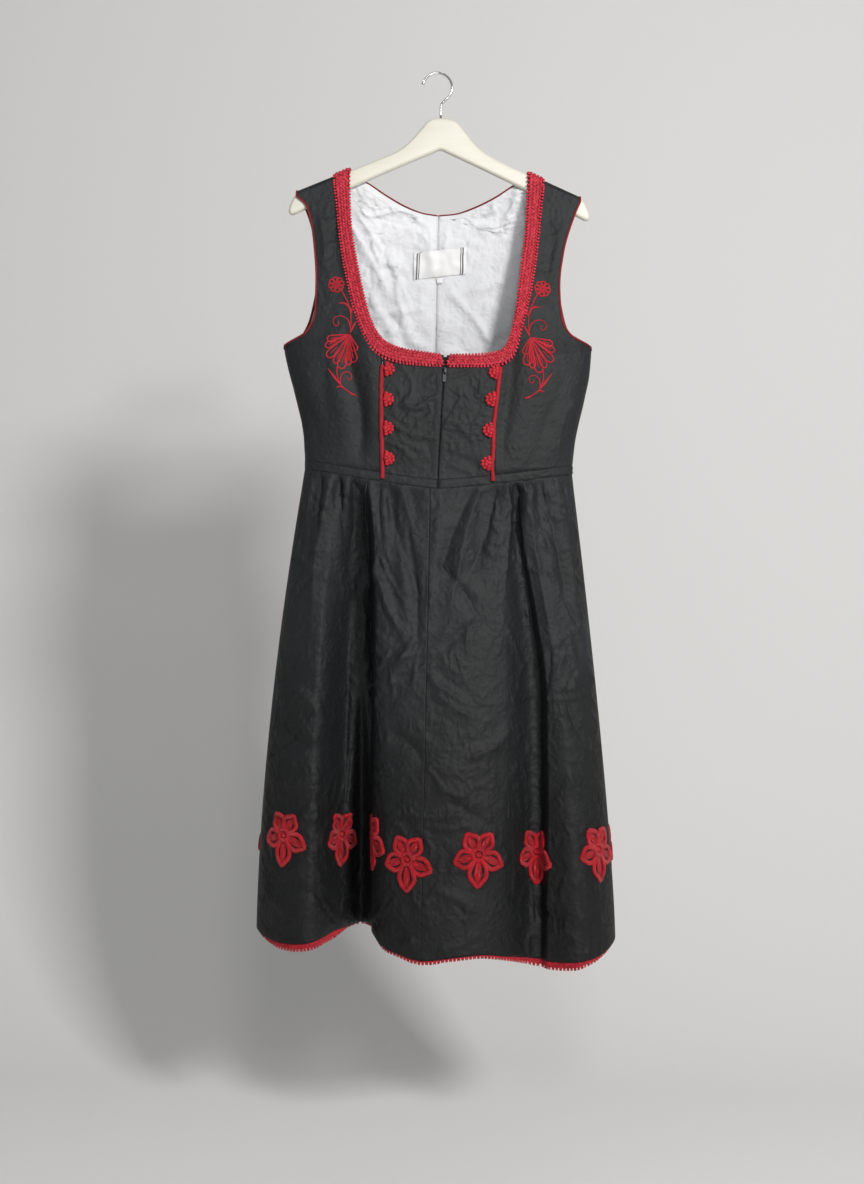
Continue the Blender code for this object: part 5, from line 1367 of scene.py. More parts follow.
# Embroidered sprigs, as they lie on the left side front: kind, half width, places as (distance from the middle,
# drop). The right one mirrors it and leans a little further out
SPRIG = (
    ("stem", 0.0009, ((0.1418, 0.3230), (0.1390, 0.3262), (0.1320, 0.3391), (0.1272, 0.3490), (0.1239, 0.3614), (0.1230, 0.3765), (0.1239, 0.3914))),
    ("leaf", 0.0019, ((0.1241, 0.3614), (0.1263, 0.3530), (0.1331, 0.3471), (0.1424, 0.3474))),
    ("leaf", 0.0015, ((0.1236, 0.3628), (0.1219, 0.3555), (0.1189, 0.3511))),
    ("tendril", 0.0008, ((0.1236, 0.3832), (0.1270, 0.3728), (0.1338, 0.3673), (0.1413, 0.3661), (0.1474, 0.3694), (0.1492, 0.3744), (0.1466, 0.3800), (0.1423, 0.3805), (0.1404, 0.3768), (0.1424, 0.3743))),
    ("leaf", 0.0016, ((0.1232, 0.3904), (0.1202, 0.3824), (0.1147, 0.3737))),
    ("leaf", 0.0018, ((0.1361, 0.4669), (0.1450, 0.4559), (0.1547, 0.4433))),
    ("stem", 0.0009, ((0.1416, 0.4404), (0.1417, 0.4503), (0.1395, 0.4582), (0.1358, 0.4669))),
    ("tendril", 0.0008, ((0.1358, 0.4669), (0.1363, 0.4574), (0.1340, 0.4509), (0.1282, 0.4477), (0.1225, 0.4493), (0.1204, 0.4542), (0.1229, 0.4586), (0.1264, 0.4581), (0.1271, 0.4546))),
    ("leaf", 0.0013, ((0.1321, 0.4707), (0.1372, 0.4694), (0.1422, 0.4711))),
    ("stem", 0.0010, ((0.1361, 0.4669), (0.1321, 0.4707), (0.1265, 0.4751), (0.1196, 0.4793))),
    ("leaf", 0.0016, ((0.1240, 0.4769), (0.1181, 0.4800), (0.1120, 0.4813))),
)
SPRIG_EYE, SPRIG_PETAL = (0.1462, 0.3190), 0.0112
SPRIG_ROOT = (0.1250, 0.3930)
# looped petals of the big flower: tip's distance from the middle, tip's drop, half width at the tip
SPRIG_LOOPS = (
    (0.1566, 0.4010, 0.0048),
    (0.1592, 0.4110, 0.0044),
    (0.1560, 0.4262, 0.0058),
    (0.1452, 0.4355, 0.0046),
    (0.1368, 0.4432, 0.0062),
    (0.1262, 0.4372, 0.0046),
    (0.1175, 0.4330, 0.0058),
    (0.1155, 0.4170, 0.0048),
)
SPRIG_HIGH = 0.0014
RIGHT_OUT, RIGHT_LEAN = 0.0080, 0.0575


def sprig_cords(side):
    cords = []

    def lay(flat, halves, closed=False, high=SPRIG_HIGH):
        spots, outs = [], []
        for away, drop in flat:
            if side > 0:
                away += RIGHT_OUT + (drop - SPRIG_EYE[1]) * RIGHT_LEAN
            spot, out = on_front(side * away, drop)
            spots.append(spot)
            outs.append(out)
        outs = np.array([tuple(o) for o in outs])
        outs = outs + np.roll(outs, 1, axis=0) + np.roll(outs, -1, axis=0) if closed else outs
        outs /= np.linalg.norm(outs, axis=1, keepdims=True)
        cords.append((np.array([tuple(s) for s in spots]), outs, halves, [high] * len(spots), closed))

    def loop(root, tip, half, size):
        """A looped petal: narrow at its root and round at its tip."""
        root, tip = Vector(root), Vector(tip)
        lean = (tip - root).normalized()
        cross = Vector((-lean.y, lean.x))
        length = (tip - root).length
        flat = []
        for t, wide in ((0.0, 0.0), (0.35, 0.42), (0.68, 0.80), (0.86, 1.0), (0.97, 0.62), (1.0, 0.0)):
            flat.append(root + lean * length * t + cross * half * wide)
        flat += [p - 2 * cross * (p - root).dot(cross) for p in reversed(flat[1:-1])]
        lay(curve_through(flat, 30, True), [size * 1.25] * 30, True)

    for kind, half, flat in SPRIG:
        count = 26 if kind == "tendril" else 16
        line = curve_through(flat, count)
        t = np.linspace(0, 1, len(line))
        if kind == "leaf":
            halves = half * (0.35 + 0.65 * np.sin(math.pi * t**0.8))
        else:
            halves = half * 1.25 * (1 - 0.25 * t)
        lay(line, halves)
    eye = Vector(SPRIG_EYE)
    for k in range(8):
        turn = math.radians(45 * k + 12)
        lean = Vector((math.cos(turn), math.sin(turn)))
        loop(eye + lean * 0.0022, eye + lean * SPRIG_PETAL, 0.0032, 0.0009)
    lay(curve_through([eye + Vector((math.cos(a), math.sin(a))) * 0.0017 for a in (0, 1.57, 3.14, 4.71)], 14, True), [0.0009] * 14, True)
    for away, drop, half in SPRIG_LOOPS:
        tip = Vector((away, drop))
        loop(SPRIG_ROOT, tip, half, 0.0010)
        lay(curve_through([Vector(SPRIG_ROOT).lerp(tip, 0.55), Vector(SPRIG_ROOT).lerp(tip, 0.86)], 6), [0.0008] * 7)
    return cords


def thread_finish(name, low, high, rough, pitch, slant, depth):
    """Lustrous thread laid side by side, in fine ribs along the piece's own map."""
    made, tree, shader = finish(name, high, rough, Sheen_Weight=0.12, Sheen_Roughness=0.35, Specular_IOR_Level=0.35)
    shader.inputs["Sheen Tint"].default_value = (1.0, 0.55, 0.6, 1)
    place = node(tree, "ShaderNodeUVMap", (-1100, 0), uv_map="cloth")
    turned = node(tree, "ShaderNodeMapping", (-950, 0))
    turned.inputs["Rotation"].default_value = (0, 0, slant)
    link(tree, place.outputs[0], turned.inputs["Vector"])
    ribs = node(tree, "ShaderNodeTexWave", (-750, 0), wave_type="BANDS", bands_direction="X")
    ribs.inputs["Scale"].default_value = 1 / pitch / (2 * math.pi) * 2
    ribs.inputs["Distortion"].default_value = 0.8
    ribs.inputs["Detail"].default_value = 2.0
    link(tree, turned.outputs[0], ribs.inputs["Vector"])
    where = node(tree, "ShaderNodeTexCoord", (-1100, -300))
    fuzz = node(tree, "ShaderNodeTexNoise", (-750, -300), Scale=420.0, Detail=4.0)
    link(tree, where.outputs["Object"], fuzz.inputs["Vector"])
    drift = node(tree, "ShaderNodeTexNoise", (-750, -520), Scale=38.0, Detail=2.0)
    link(tree, where.outputs["Object"], drift.inputs["Vector"])
    tone = node(tree, "ShaderNodeMath", (-520, 100), operation="MULTIPLY_ADD")
    tone.inputs[1].default_value = 0.55
    link(tree, ribs.outputs["Fac"], tone.inputs[0])
    spread = node(tree, "ShaderNodeMapRange", (-520, -450))
    spread.inputs["From Min"].default_value = 0.35
    spread.inputs["From Max"].default_value = 0.65
    spread.inputs["To Max"].default_value = 0.45
    link(tree, drift.outputs["Fac"], spread.inputs["Value"])
    link(tree, spread.outputs[0], tone.inputs[2])
    colour = ramp(tree, low, high)
    link(tree, tone.outputs[0], colour.inputs[0])
    link(tree, colour.outputs[2], shader.inputs["Base Color"])
    height = node(tree, "ShaderNodeMath", (-450, -200), operation="MULTIPLY_ADD")
    height.inputs[1].default_value = 0.5
    link(tree, fuzz.outputs["Fac"], height.inputs[0])
    link(tree, ribs.outputs["Fac"], height.inputs[2])
    bump(tree, shader, height.outputs[0], depth)
    return made


flower_thread = thread_finish("flower thread", (0.25, 0.004, 0.008), (0.58, 0.012, 0.024), 0.48, 0.0009, 0.25, 0.0004)
sprig_thread = thread_finish("sprig thread", (0.30, 0.008, 0.016), (0.60, 0.022, 0.040), 0.52, 0.0011, 0.7, 0.0003)
for side, word in SIDES:
    mesh = cord_mesh(f"embroidery_{word}", sprig_cords(side))
    piece(mesh, sprig_thread)


# Hem flowers: raised satin edges round each petal, a padded leaf inside it and a ringed eye
FLOWER_THICK, FLOWER_LIFT = 0.0012, 0.0006
# petal direction in degrees, length, half width
PETALS = (
    (57.0, 0.0385, 0.0142),
    (121.0, 0.0385, 0.0142),
    (196.0, 0.0410, 0.0150),
    (269.0, 0.0495, 0.0160),
    (337.0, 0.0445, 0.0150),
)
SATIN_HALF, SATIN_HIGH = 0.0036, 0.0026
EYE_REACH, EYE_HALF, VEIN_SHARE = 0.0076, 0.0025, 0.30


def skirt_patch(middle, drop, half):
    """A function from flat places round a point of the skirt to the dressed cloth there."""
    for word, start, stop, _ in SKIRT_PANELS:
        if start <= middle < stop:
            places, shares, outer = skirt_skins[word]
            home = word
    names = [panel[0] for panel in SKIRT_PANELS]
    k = names.index(home)
    parts = [skirt_skins[names[(k + step) % 4]] for step in (-1, 0, 1)]
    offset = parts[0][2].shape[1]
    outer = np.concatenate([part[2] for part in parts], axis=1)
    column = offset + int(np.searchsorted(places, middle))
    normals = row_normals(outer, -1)
    line_row = int(np.argmin(abs(-outer[:, column, 2] - drop)))
    line = outer[line_row]
    run = np.concatenate([[0.0], np.cumsum(np.linalg.norm(np.diff(line, axis=0), axis=1))])
    run -= run[column]

    def laid(right, up, lift):
        c = np.interp(right, run, np.arange(len(run)))
        i = min(int(c), outer.shape[1] - 2)
        f = c - i
        fall = -(outer[:, i, 2] * (1 - f) + outer[:, i + 1, 2] * f)
        r = np.interp(drop - up, fall, np.arange(len(fall)))
        j = min(int(r), outer.shape[0] - 2)
        g = r - j
        at = np.zeros(3)
        out = np.zeros(3)
        for a, wa in ((i, 1 - f), (i + 1, f)):
            for b, wb in ((j, 1 - g), (j + 1, g)):
                at += outer[b, a] * wa * wb
                out += normals[b, a] * wa * wb
        out /= max(np.linalg.norm(out), 1e-9)
        return at + out * lift, out

    return laid


def petal_line(degrees, length, half, start, inset, count):
    """A leaf-shaped closed line, from near the eye out to a pointed tip."""
    lean = Vector((math.cos(math.radians(degrees)), math.sin(math.radians(degrees))))
    cross = Vector((-lean.y, lean.x))
    reach = length - inset * 1.5 - start
    flat = []
    for t, wide in ((0.0, 0.42), (0.20, 0.78), (0.42, 1.0), (0.64, 0.92), (0.84, 0.50), (1.0, 0.0)):
        flat.append(lean * (start + reach * t) + cross * (half - inset) * wide)
    flat += [p - 2 * cross * p.dot(cross) for p in reversed(flat[:-1])]
    return curve_through(flat, count, True)


def crowned_leaf(laid, outline, lift, high):
    """A padded leaf inside a closed outline, as rings that rise towards its middle."""
    middle = outline.mean(axis=0)
    rings = []
    for share, rise in ((1.0, 0.0), (0.86, 0.55), (0.55, 0.9), (0.2, 1.0)):
        rings.append([laid(*(middle + (p - middle) * share), lift + high * rise)[0] for p in outline])
    return rings, laid(*middle, lift + high)[0], laid(*middle, 0.0)[0]


def hem_flower(number, middle, drop):
    laid = skirt_patch(middle, drop, 0.06)
    cords, points, faces, uvs = [], [], [], []

    def ring_cord(outline, half, high, lift=0.0006, ragged=0.0):
        spots, outs = zip(*(laid(x, y, lift) for x, y in outline))
        halves = [half * (1 + (ragged if k % 2 else -ragged)) for k in range(len(spots))]
        cords.append((np.array(spots), np.array(outs), halves, [high] * len(spots), True))

    for degrees, length, half in PETALS:
        ring_cord(petal_line(degrees, length, half, 0.0085, SATIN_HALF, 56), SATIN_HALF, SATIN_HIGH, ragged=0.22)
        leaf = petal_line(degrees, length - 0.0090, half * VEIN_SHARE, 0.0105, 0.0, 24)
        ring_cord(leaf, 0.0008, 0.0012)
        rings, top, foot = crowned_leaf(laid, leaf, 0.0002, 0.0011)
        base = len(points)
        for loop in rings:
            points += loop
        count = len(leaf)
        for r in range(len(rings) - 1):
            for k in range(count):
                m = (k + 1) % count
                faces.append((base + r * count + k, base + r * count + m, base + (r + 1) * count + m, base + (r + 1) * count + k))
        points += [top, foot]
        for k in range(count):
            m = (k + 1) % count
            faces.append((base + 3 * count + k, base + 3 * count + m, len(points) - 2))
            faces.append((base + m, base + k, len(points) - 1))
        uvs += [tuple(p) for _ in rings for p in leaf] + [tuple(leaf.mean(axis=0))] * 2
    eye = np.array([(math.cos(a), math.sin(a)) for a in np.linspace(0, 2 * math.pi, 30, endpoint=False)])
    ring_cord(eye * EYE_REACH, EYE_HALF, 0.0026, 0.0010)
    rings, top, foot = crowned_leaf(laid, eye * (EYE_REACH - 0.0032), 0.0008, 0.0022)
    base, count = len(points), len(eye)
    for loop in rings:
        points += loop
    for r in range(len(rings) - 1):
        for k in range(count):
            m = (k + 1) % count
            faces.append((base + r * count + k, base + r * count + m, base + (r + 1) * count + m, base + (r + 1) * count + k))
    points += [top, foot]
    for k in range(count):
        m = (k + 1) % count
        faces.append((base + 3 * count + k, base + 3 * count + m, len(points) - 2))
        faces.append((base + m, base + k, len(points) - 1))
    uvs += [tuple(p * EYE_REACH) for _ in rings for p in eye] + [(0.0, 0.0)] * 2
    pads = plain_mesh("pads", points, faces, uvs)
    satin = cord_mesh("satin", cords)
    work = bmesh.new()
    work.from_mesh(satin)
    work.from_mesh(pads)
    mesh = bpy.data.meshes.new(f"hem_flower_{number:02d}")
    work.to_mesh(mesh)
    work.free()
    bpy.data.meshes.remove(pads)
    bpy.data.meshes.remove(satin)
    mesh.shade_smooth()
    piece(mesh, flower_thread, (f"flower_{number:02d}",))


for number, (middle, drop) in enumerate(FLOWERS, 1):
    hem_flower(number, middle, drop)


# Small sewn grains, laid by a node tree: crochet stitches, needle stitches and zip teeth
def grain_tree():
    """Grains of one shape at points, each turned by the points' own angles and scaled by their own sizes."""
    tree = bpy.data.node_groups.new("sewn grains", "GeometryNodeTree")
    tree.interface.new_socket("Geometry", in_out="INPUT", socket_type="NodeSocketGeometry")
    for label_text, kind, value in (
        ("Length", "NodeSocketFloat", 0.004),
        ("Width", "NodeSocketFloat", 0.0012),
        ("Height", "NodeSocketFloat", 0.0012),
        ("Rings", "NodeSocketInt", 6),
        ("Segments", "NodeSocketInt", 8),
        ("Finish", "NodeSocketMaterial", None),
    ):
        socket = tree.interface.new_socket(label_text, in_out="INPUT", socket_type=kind)
        if value is not None:
            socket.default_value = value
    tree.interface.new_socket("Geometry", in_out="OUTPUT", socket_type="NodeSocketGeometry")
    entry = tree.nodes.new("NodeGroupInput")
    leave = tree.nodes.new("NodeGroupOutput")
    given = entry.outputs
    grain = tree.nodes.new("GeometryNodeMeshUVSphere")
    grain.inputs["Radius"].default_value = 0.5
    link(tree, given["Rings"], grain.inputs["Rings"])
    link(tree, given["Segments"], grain.inputs["Segments"])
    size = tree.nodes.new("ShaderNodeCombineXYZ")
    for axis, label_text in zip("XYZ", ("Length", "Width", "Height")):
        link(tree, given[label_text], size.inputs[axis])
    shaped = tree.nodes.new("GeometryNodeTransform")
    link(tree, grain.outputs["Mesh"], shaped.inputs["Geometry"])
    link(tree, size.outputs[0], shaped.inputs["Scale"])
    turns = tree.nodes.new("GeometryNodeInputNamedAttribute")
    turns.data_type = "FLOAT_VECTOR"
    turns.inputs["Name"].default_value = "turn"
    sizes = tree.nodes.new("GeometryNodeInputNamedAttribute")
    sizes.data_type = "FLOAT"
    sizes.inputs["Name"].default_value = "size"
    turned = tree.nodes.new("FunctionNodeEulerToRotation")
    link(tree, turns.outputs["Attribute"], turned.inputs[0])
    laid = tree.nodes.new("GeometryNodeInstanceOnPoints")
    link(tree, given["Geometry"], laid.inputs["Points"])
    link(tree, shaped.outputs[0], laid.inputs["Instance"])
    link(tree, turned.outputs[0], laid.inputs["Rotation"])
    link(tree, sizes.outputs["Attribute"], laid.inputs["Scale"])
    real = tree.nodes.new("GeometryNodeRealizeInstances")
    link(tree, laid.outputs[0], real.inputs[0])
    shade = tree.nodes.new("GeometryNodeSetShadeSmooth")
    link(tree, real.outputs[0], shade.inputs[0])
    made = tree.nodes.new("GeometryNodeSetMaterial")
    link(tree, shade.outputs[0], made.inputs["Geometry"])
    link(tree, given["Finish"], made.inputs["Material"])
    link(tree, made.outputs[0], leave.inputs[0])
    return tree


grains = grain_tree()


def laid_grains(name, places, length, width, height, finish_made, rings=6, segments=8):
    """A plain mesh of grains. Each place is (spot, direction, outward, size)."""
    mesh = bpy.data.meshes.new(name + " places")
    mesh.from_pydata([tuple(place[0]) for place in places], [], [])
    turns, sizes = [], []
    for _, lean, out, share in places:
        x = Vector(lean).normalized()
        z = (Vector(out) - x * Vector(out).dot(x)).normalized()
        turns += Matrix((x, z.cross(x), z)).transposed().to_euler()
        sizes.append(share)
    mesh.attributes.new("turn", "FLOAT_VECTOR", "POINT")
    mesh.attributes.new("size", "FLOAT", "POINT")
    mesh.attributes["turn"].data.foreach_set("vector", turns)
    mesh.attributes["size"].data.foreach_set("value", sizes)
    holder = bpy.data.objects.new(name + " places", mesh)
    bpy.context.scene.collection.objects.link(holder)
    stack = holder.modifiers.new("grains", "NODES")
    stack.node_group = grains
    values = dict(Length=length, Width=width, Height=height, Rings=rings, Segments=segments, Finish=finish_made)
    for item in grains.interface.items_tree:
        if item.in_out == "INPUT" and item.name in values:
            stack[item.identifier] = values[item.name]
    bpy.context.view_layer.update()
    made = bpy.data.meshes.new_from_object(holder.evaluated_get(bpy.context.evaluated_depsgraph_get()))
    made.name = name
    bpy.data.objects.remove(holder, do_unlink=True)
    bpy.data.meshes.remove(mesh)
    return made


def joined(name, *meshes):
    """One mesh of several, with their finishes kept."""
    finishes = []
    work = bmesh.new()
    for mesh in meshes:
        for made in mesh.materials:
            if made not in finishes:
                finishes.append(made)
    for mesh in meshes:
        before = len(work.faces)
        work.from_mesh(mesh)
        work.faces.ensure_lookup_table()
        own = [finishes.index(made) for made in mesh.materials] or [0]
        for face in work.faces[before:]:
            face.material_index = own[min(face.material_index, len(own) - 1)]
    result = bpy.data.meshes.new(name)
    work.to_mesh(result)
    work.free()
    for made in finishes:
        result.materials.append(made)
    for mesh in meshes:
        bpy.data.meshes.remove(mesh)
    result.shade_smooth()
    return result


# Neck braid: a flat base, two columns of chunky V stitches and a row of picots on both edges
PICOT_LONG, PICOT_WIDE, PICOT_HIGH = 0.0044, 0.0040, 0.0027
BRAID_PITCH, BRAID_LANES = 0.0047, (-0.70, -0.23, 0.23, 0.70)
STITCH_LONG, STITCH_WIDE, STITCH_HIGH = 0.0066, 0.0031, 0.0032


def braid_surface(side):
    """Spots and outward directions across the braid, at even steps down it."""
    first = BRAID[side][0]
    stations = []
    for turn in (0.0, 30.0, 60.0, 90.0):
        fall = SHOULDER_WRAP * (1 - math.cos(math.radians(turn)))
        inner_x, outer_x = side * BRAID_INNER, side * BRAID_OUTER
        stations.append((inner_x, shoulder(inner_x) + fall, outer_x, shoulder(outer_x) + fall))
    stations += [row for row in BRAID[side] if row[1] > shoulder(first[0]) + SHOULDER_WRAP + BRAID_CLEAR]
    numbered = [(float(i), *row) for i, row in enumerate(stations)]
    fine = [k / 12 for k in range(12 * (len(stations) - 1) + 1)]
    spots = []
    for at in fine:
        inner_x, inner_drop, outer_x, outer_drop = (smooth(numbered, at, column) for column in (1, 2, 3, 4))
        spots.append([front_at(side, mix(inner_x, outer_x, t / 8), mix(inner_drop, outer_drop, t / 8)) for t in range(9)])
    points = np.array([[tuple(at) for at, _ in row] for row in spots])
    outs = np.array([[tuple(out) for _, out in row] for row in spots])
    run = np.concatenate([[0.0], np.cumsum(np.linalg.norm(np.diff(points[:, 4], axis=0), axis=1))])
    return points, outs, run


def neck_braid(side, word):
    points, outs, run = braid_surface(side)
    count = int(run[-1] / BRAID_PITCH)
    pitch = run[-1] / count

    def at(t, s):
        """t along in pitches, s across from -1 to 1."""
        r = np.interp(t * pitch, run, np.arange(len(run)))
        i = min(int(r), len(run) - 2)
        c = (s + 1) * 4
        j = min(max(int(c), 0), 7)
        f, g = r - i, c - j
        spot, out = np.zeros(3), np.zeros(3)
        for a, wa in ((i, 1 - f), (i + 1, f)):
            for b, wb in ((j, 1 - g), (j + 1, g)):
                spot += points[a, b] * wa * wb
                out += outs[a, b] * wa * wb
        return spot, out / np.linalg.norm(out)

    rows, lows, places, picots = [], [], [], []
    for k in range(count * 4 + 1):
        t = k / 4
        wave = 0.045 * math.cos(2 * math.pi * t)
        row, low = [], []
        for j in range(9):
            s = (j / 4 - 1) * (0.84 + wave)
            spot, out = at(t, s)
            row.append(spot + out * (BRAID_LIFT + 0.0008 + 0.0006 * (1 - s * s)))
            low.append(spot + out * (BRAID_LIFT - 0.0004))
        rows.append(row)
        lows.append(low)
    base = wall_mesh(f"braid base {word}", np.array(rows), np.array(lows))
    base.materials.append(braid_yarn)
    picker = random.Random(5)
    for k in range(count):
        for lane, s in enumerate(BRAID_LANES):
            t = min(k + (0.3 if lane < 2 else 0.8), count - 0.2)
            spot, out = at(t, s)
            ahead, _ = at(min(t + 0.3, count), s)
            beside_spot, _ = at(t, s + 0.1)
            along = Vector(ahead - spot).normalized()
            across = Vector(beside_spot - spot).normalized()
            slant = (0.62 if lane % 2 else -0.62) + picker.uniform(-0.10, 0.10)
            lean = along * math.cos(slant) + across * math.sin(slant)
            lift = BRAID_LIFT + 0.0017 + picker.uniform(-0.0003, 0.0003)
            places.append((spot + out * lift, lean, out, picker.uniform(0.92, 1.08)))
        for s in (-1.0, 1.0):
            part = 0.5 if s < 0 else 0.0
            spot, out = at(min(k + part, count), s * (1.02 + 0.05 * picker.random()))
            inner, _ = at(min(k + part, count), s * 0.8)
            picots.append((spot + out * (BRAID_LIFT + 0.0009), Vector(spot - inner).normalized(), out, 1.0))
    stitches = laid_grains(f"braid stitches {word}", places, STITCH_LONG, STITCH_WIDE, STITCH_HIGH, braid_yarn)
    loops = laid_grains(f"braid picots {word}", picots, PICOT_LONG, PICOT_WIDE, PICOT_HIGH, braid_yarn)
    mesh = joined(f"braid_{word}", base, stitches, loops)
    piece(mesh, None, (f"neck_braid_{word}",))


def yarn_finish(name, low, high, rough, scale):
    """Matt yarn whose fibres catch the light here and there."""
    made, tree, shader = finish(name, high, rough, Sheen_Weight=0.18, Sheen_Roughness=0.4, Specular_IOR_Level=0.3)
    shader.inputs["Sheen Tint"].default_value = (1.0, 0.55, 0.6, 1)
    where = node(tree, "ShaderNodeTexCoord", (-1000, 0))
    fibre = node(tree, "ShaderNodeTexNoise", (-780, 100), Scale=scale * 3, Detail=5.0, Roughness=0.7)
    blotch = node(tree, "ShaderNodeTexNoise", (-780, -150), Scale=scale * 0.7, Detail=2.0)
    for tex in (fibre, blotch):
        link(tree, where.outputs["Object"], tex.inputs["Vector"])
    tone = node(tree, "ShaderNodeMapRange", (-560, -100))
    tone.inputs["From Min"].default_value = 0.36
    tone.inputs["From Max"].default_value = 0.64
    link(tree, blotch.outputs["Fac"], tone.inputs["Value"])
    colour = ramp(tree, low, high)
    link(tree, tone.outputs[0], colour.inputs[0])
    link(tree, colour.outputs[2], shader.inputs["Base Color"])
    bump(tree, shader, fibre.outputs["Fac"], 0.0005)
    return made


braid_yarn = yarn_finish("braid yarn", (0.34, 0.010, 0.022), (0.68, 0.046, 0.078), 0.55, 420.0)
for side, word in SIDES:
    neck_braid(side, word)


# Piped edges and the two vertical pipings
piping_cloth = thread_finish("piping cloth", (0.14, 0.004, 0.008), (0.27, 0.009, 0.017), 0.55, 0.0012, 0.9, 0.0002)
cord_red = thread_finish("front piping cloth", (0.26, 0.006, 0.014), (0.46, 0.014, 0.026), 0.50, 0.0011, 0.8, 0.0003)
ROUND_CORD = [(math.cos(2 * math.pi * k / 12), math.sin(2 * math.pi * k / 12)) for k in range(12)]


def beside(spots, outs, sign, closed, away):
    """A line moved off an edge in the cloth's plane."""
    tangent = np.roll(spots, -1, axis=0) - np.roll(spots, 1, axis=0)
    if not closed:
        tangent[0], tangent[-1] = spots[1] - spots[0], spots[-1] - spots[-2]
    across = np.cross(tangent, outs)
    across /= np.linalg.norm(across, axis=1, keepdims=True)
    return spots + sign * across * away


def edge_of(name, column, turn, rows):
    """An edge line of a dressed panel and its outward directions."""
    outer = skins[name][1]
    normals = row_normals(outer, turn)
    return outer[rows, column], normals[rows, column]


wrap_rows = 5
share_rows = SIDE_ROWS
arm_last = wrap_rows + int(round(share_rows * UNDERARM))
neck_last = wrap_rows + int(round(share_rows * BACK_NECK[-1][0]))
for side, word in SIDES:
    rows = list(range(arm_last + 1))
    front_spots, front_outs = edge_of(f"cloth_side_front_{word}", -1, side * FRONT, rows[::-1])
    back_spots, back_outs = edge_of(f"cloth_back_{word}", -1, side * BACK, rows)
    spots = np.concatenate([front_spots[:-1], back_spots[1:-1]])
    outs = np.concatenate([front_outs[:-1], back_outs[1:-1]])
    path = beside(spots, outs, side, True, EDGE_RADIUS * 0.8)
    size = len(path)
    cords = [(path, outs, [EDGE_RADIUS * 1.15] * size, [EDGE_RADIUS * 1.15] * size, True)]
    mesh = cord_mesh(f"armhole_edge_{word}", cords, ROUND_CORD)
    piece(mesh, piping_cloth, (f"armhole_piping_{word}",))

rows = list(range(neck_last + 1))
left_spots, left_outs = edge_of("cloth_back_left", 0, -BACK, rows)
right_spots, right_outs = edge_of("cloth_back_right", 0, BACK, rows)
spots = np.concatenate([left_spots, right_spots[::-1][1:]])
outs = np.concatenate([left_outs, right_outs[::-1][1:]])
path = beside(spots, outs, 1, False, EDGE_RADIUS * 0.8)
size = len(path)
mesh = cord_mesh(
    "back_neck_edge", [(path, outs, [EDGE_RADIUS * 1.1] * size, [EDGE_RADIUS * 1.1] * size, False)], ROUND_CORD
)
piece(mesh, piping_cloth, ("back_neck_piping",))

# Covered half-round buttons tucked under the vertical pipings
BUTTON_REACH = 0.0140
button_yarn = yarn_finish("button yarn", (0.30, 0.006, 0.014), (0.60, 0.018, 0.034), 0.5, 500.0)
for side, word in SIDES:
    column = 1 if side < 0 else 3
    bottom = waist_low(side, FRONT, PIPING_TURN) - PIPING_END
    spots, outs = [], []
    for drop in np.linspace(PIPING_TOP - 0.004, bottom, 90):
        at, out = on_front(smooth(FRONT_LINES, drop, column), drop)
        spots.append(tuple(at + out * 0.0010))
        outs.append(tuple(out))
    spots, outs = np.array(spots), np.array(outs)
    for _ in range(8):
        for row in (spots, outs):
            row[1:-1] = (row[:-2] + 2 * row[1:-1] + row[2:]) / 4
    size = len(spots)
    cords = [(np.array(spots), np.array(outs), [PIPING_HALF] * size, [PIPING_HIGH] * size, False)]
    mesh = cord_mesh(f"front_cord_{word}", cords)
    piece(mesh, cord_red, (f"front_piping_{word}",))

    for number, drop in enumerate(BUTTON_DROPS[side], 1):
        middle_x = smooth(FRONT_LINES, drop, column) - side * (PIPING_HALF + BUTTON_WIDE / 2)
        plain_at, plain_out = front_at(side, middle_x, drop)
        shift = (on_front(middle_x, drop)[0] - plain_at).dot(plain_out)

        def button_at(reach, turn, rise):
            """A spot of the half dome: reach from its pole to its rim, turn from its top end to its low one."""
            spot = drop - BUTTON_TALL * math.cos(turn) * mix(BUTTON_POLE, 1.0, reach)
            edge = smooth(FRONT_LINES, spot, column) - side * (PIPING_HALF + SEAM)
            x = edge - side * (BUTTON_CLEAR + BUTTON_REACH * math.sin(turn) * reach)
            at, out = front_at(side, x, spot)
            return at + out * (shift + BUTTON_LIFT + rise), out

        base_rows, base_lows, places = [], [], []
        for j in range(9):
            reach = math.sin(math.radians(90 * j / 8)) * 0.97
            rise = BUTTON_HIGH * 0.9 * math.sqrt(max(1 - reach**2, 0.0))
            turns = [math.pi * k / 20 for k in range(21)]
            base_rows.append([tuple(button_at(reach, turn, rise)[0]) for turn in turns])
            base_lows.append([tuple(button_at(reach, turn, -0.0004)[0]) for turn in turns])
        base = wall_mesh("button base", np.array(base_rows), np.array(base_lows))
        base.materials.append(button_yarn)
        for reach, lobes, size in ((0.86, 6, 0.95), (0.50, 4, 0.95), (0.14, 1, 1.1)):
            for k in range(lobes):
                turn = math.pi * (k + 0.5) / lobes
                rise = BUTTON_HIGH * math.sqrt(1 - reach**2)
                at, out = button_at(reach, turn, rise + 0.0003)
                pole, _ = button_at(max(reach - 0.15, 0.0), turn, rise)
                lean = at - pole
                places.append((at, lean - out * lean.dot(out), out, size))
        lobes = laid_grains("button lobes", places, 0.0062, 0.0058, 0.0034, button_yarn, 8, 12)
        mesh = joined(f"half_button_{word}_{number}", base, lobes)
        piece(mesh, None, (f"button_{word}_{number}",))


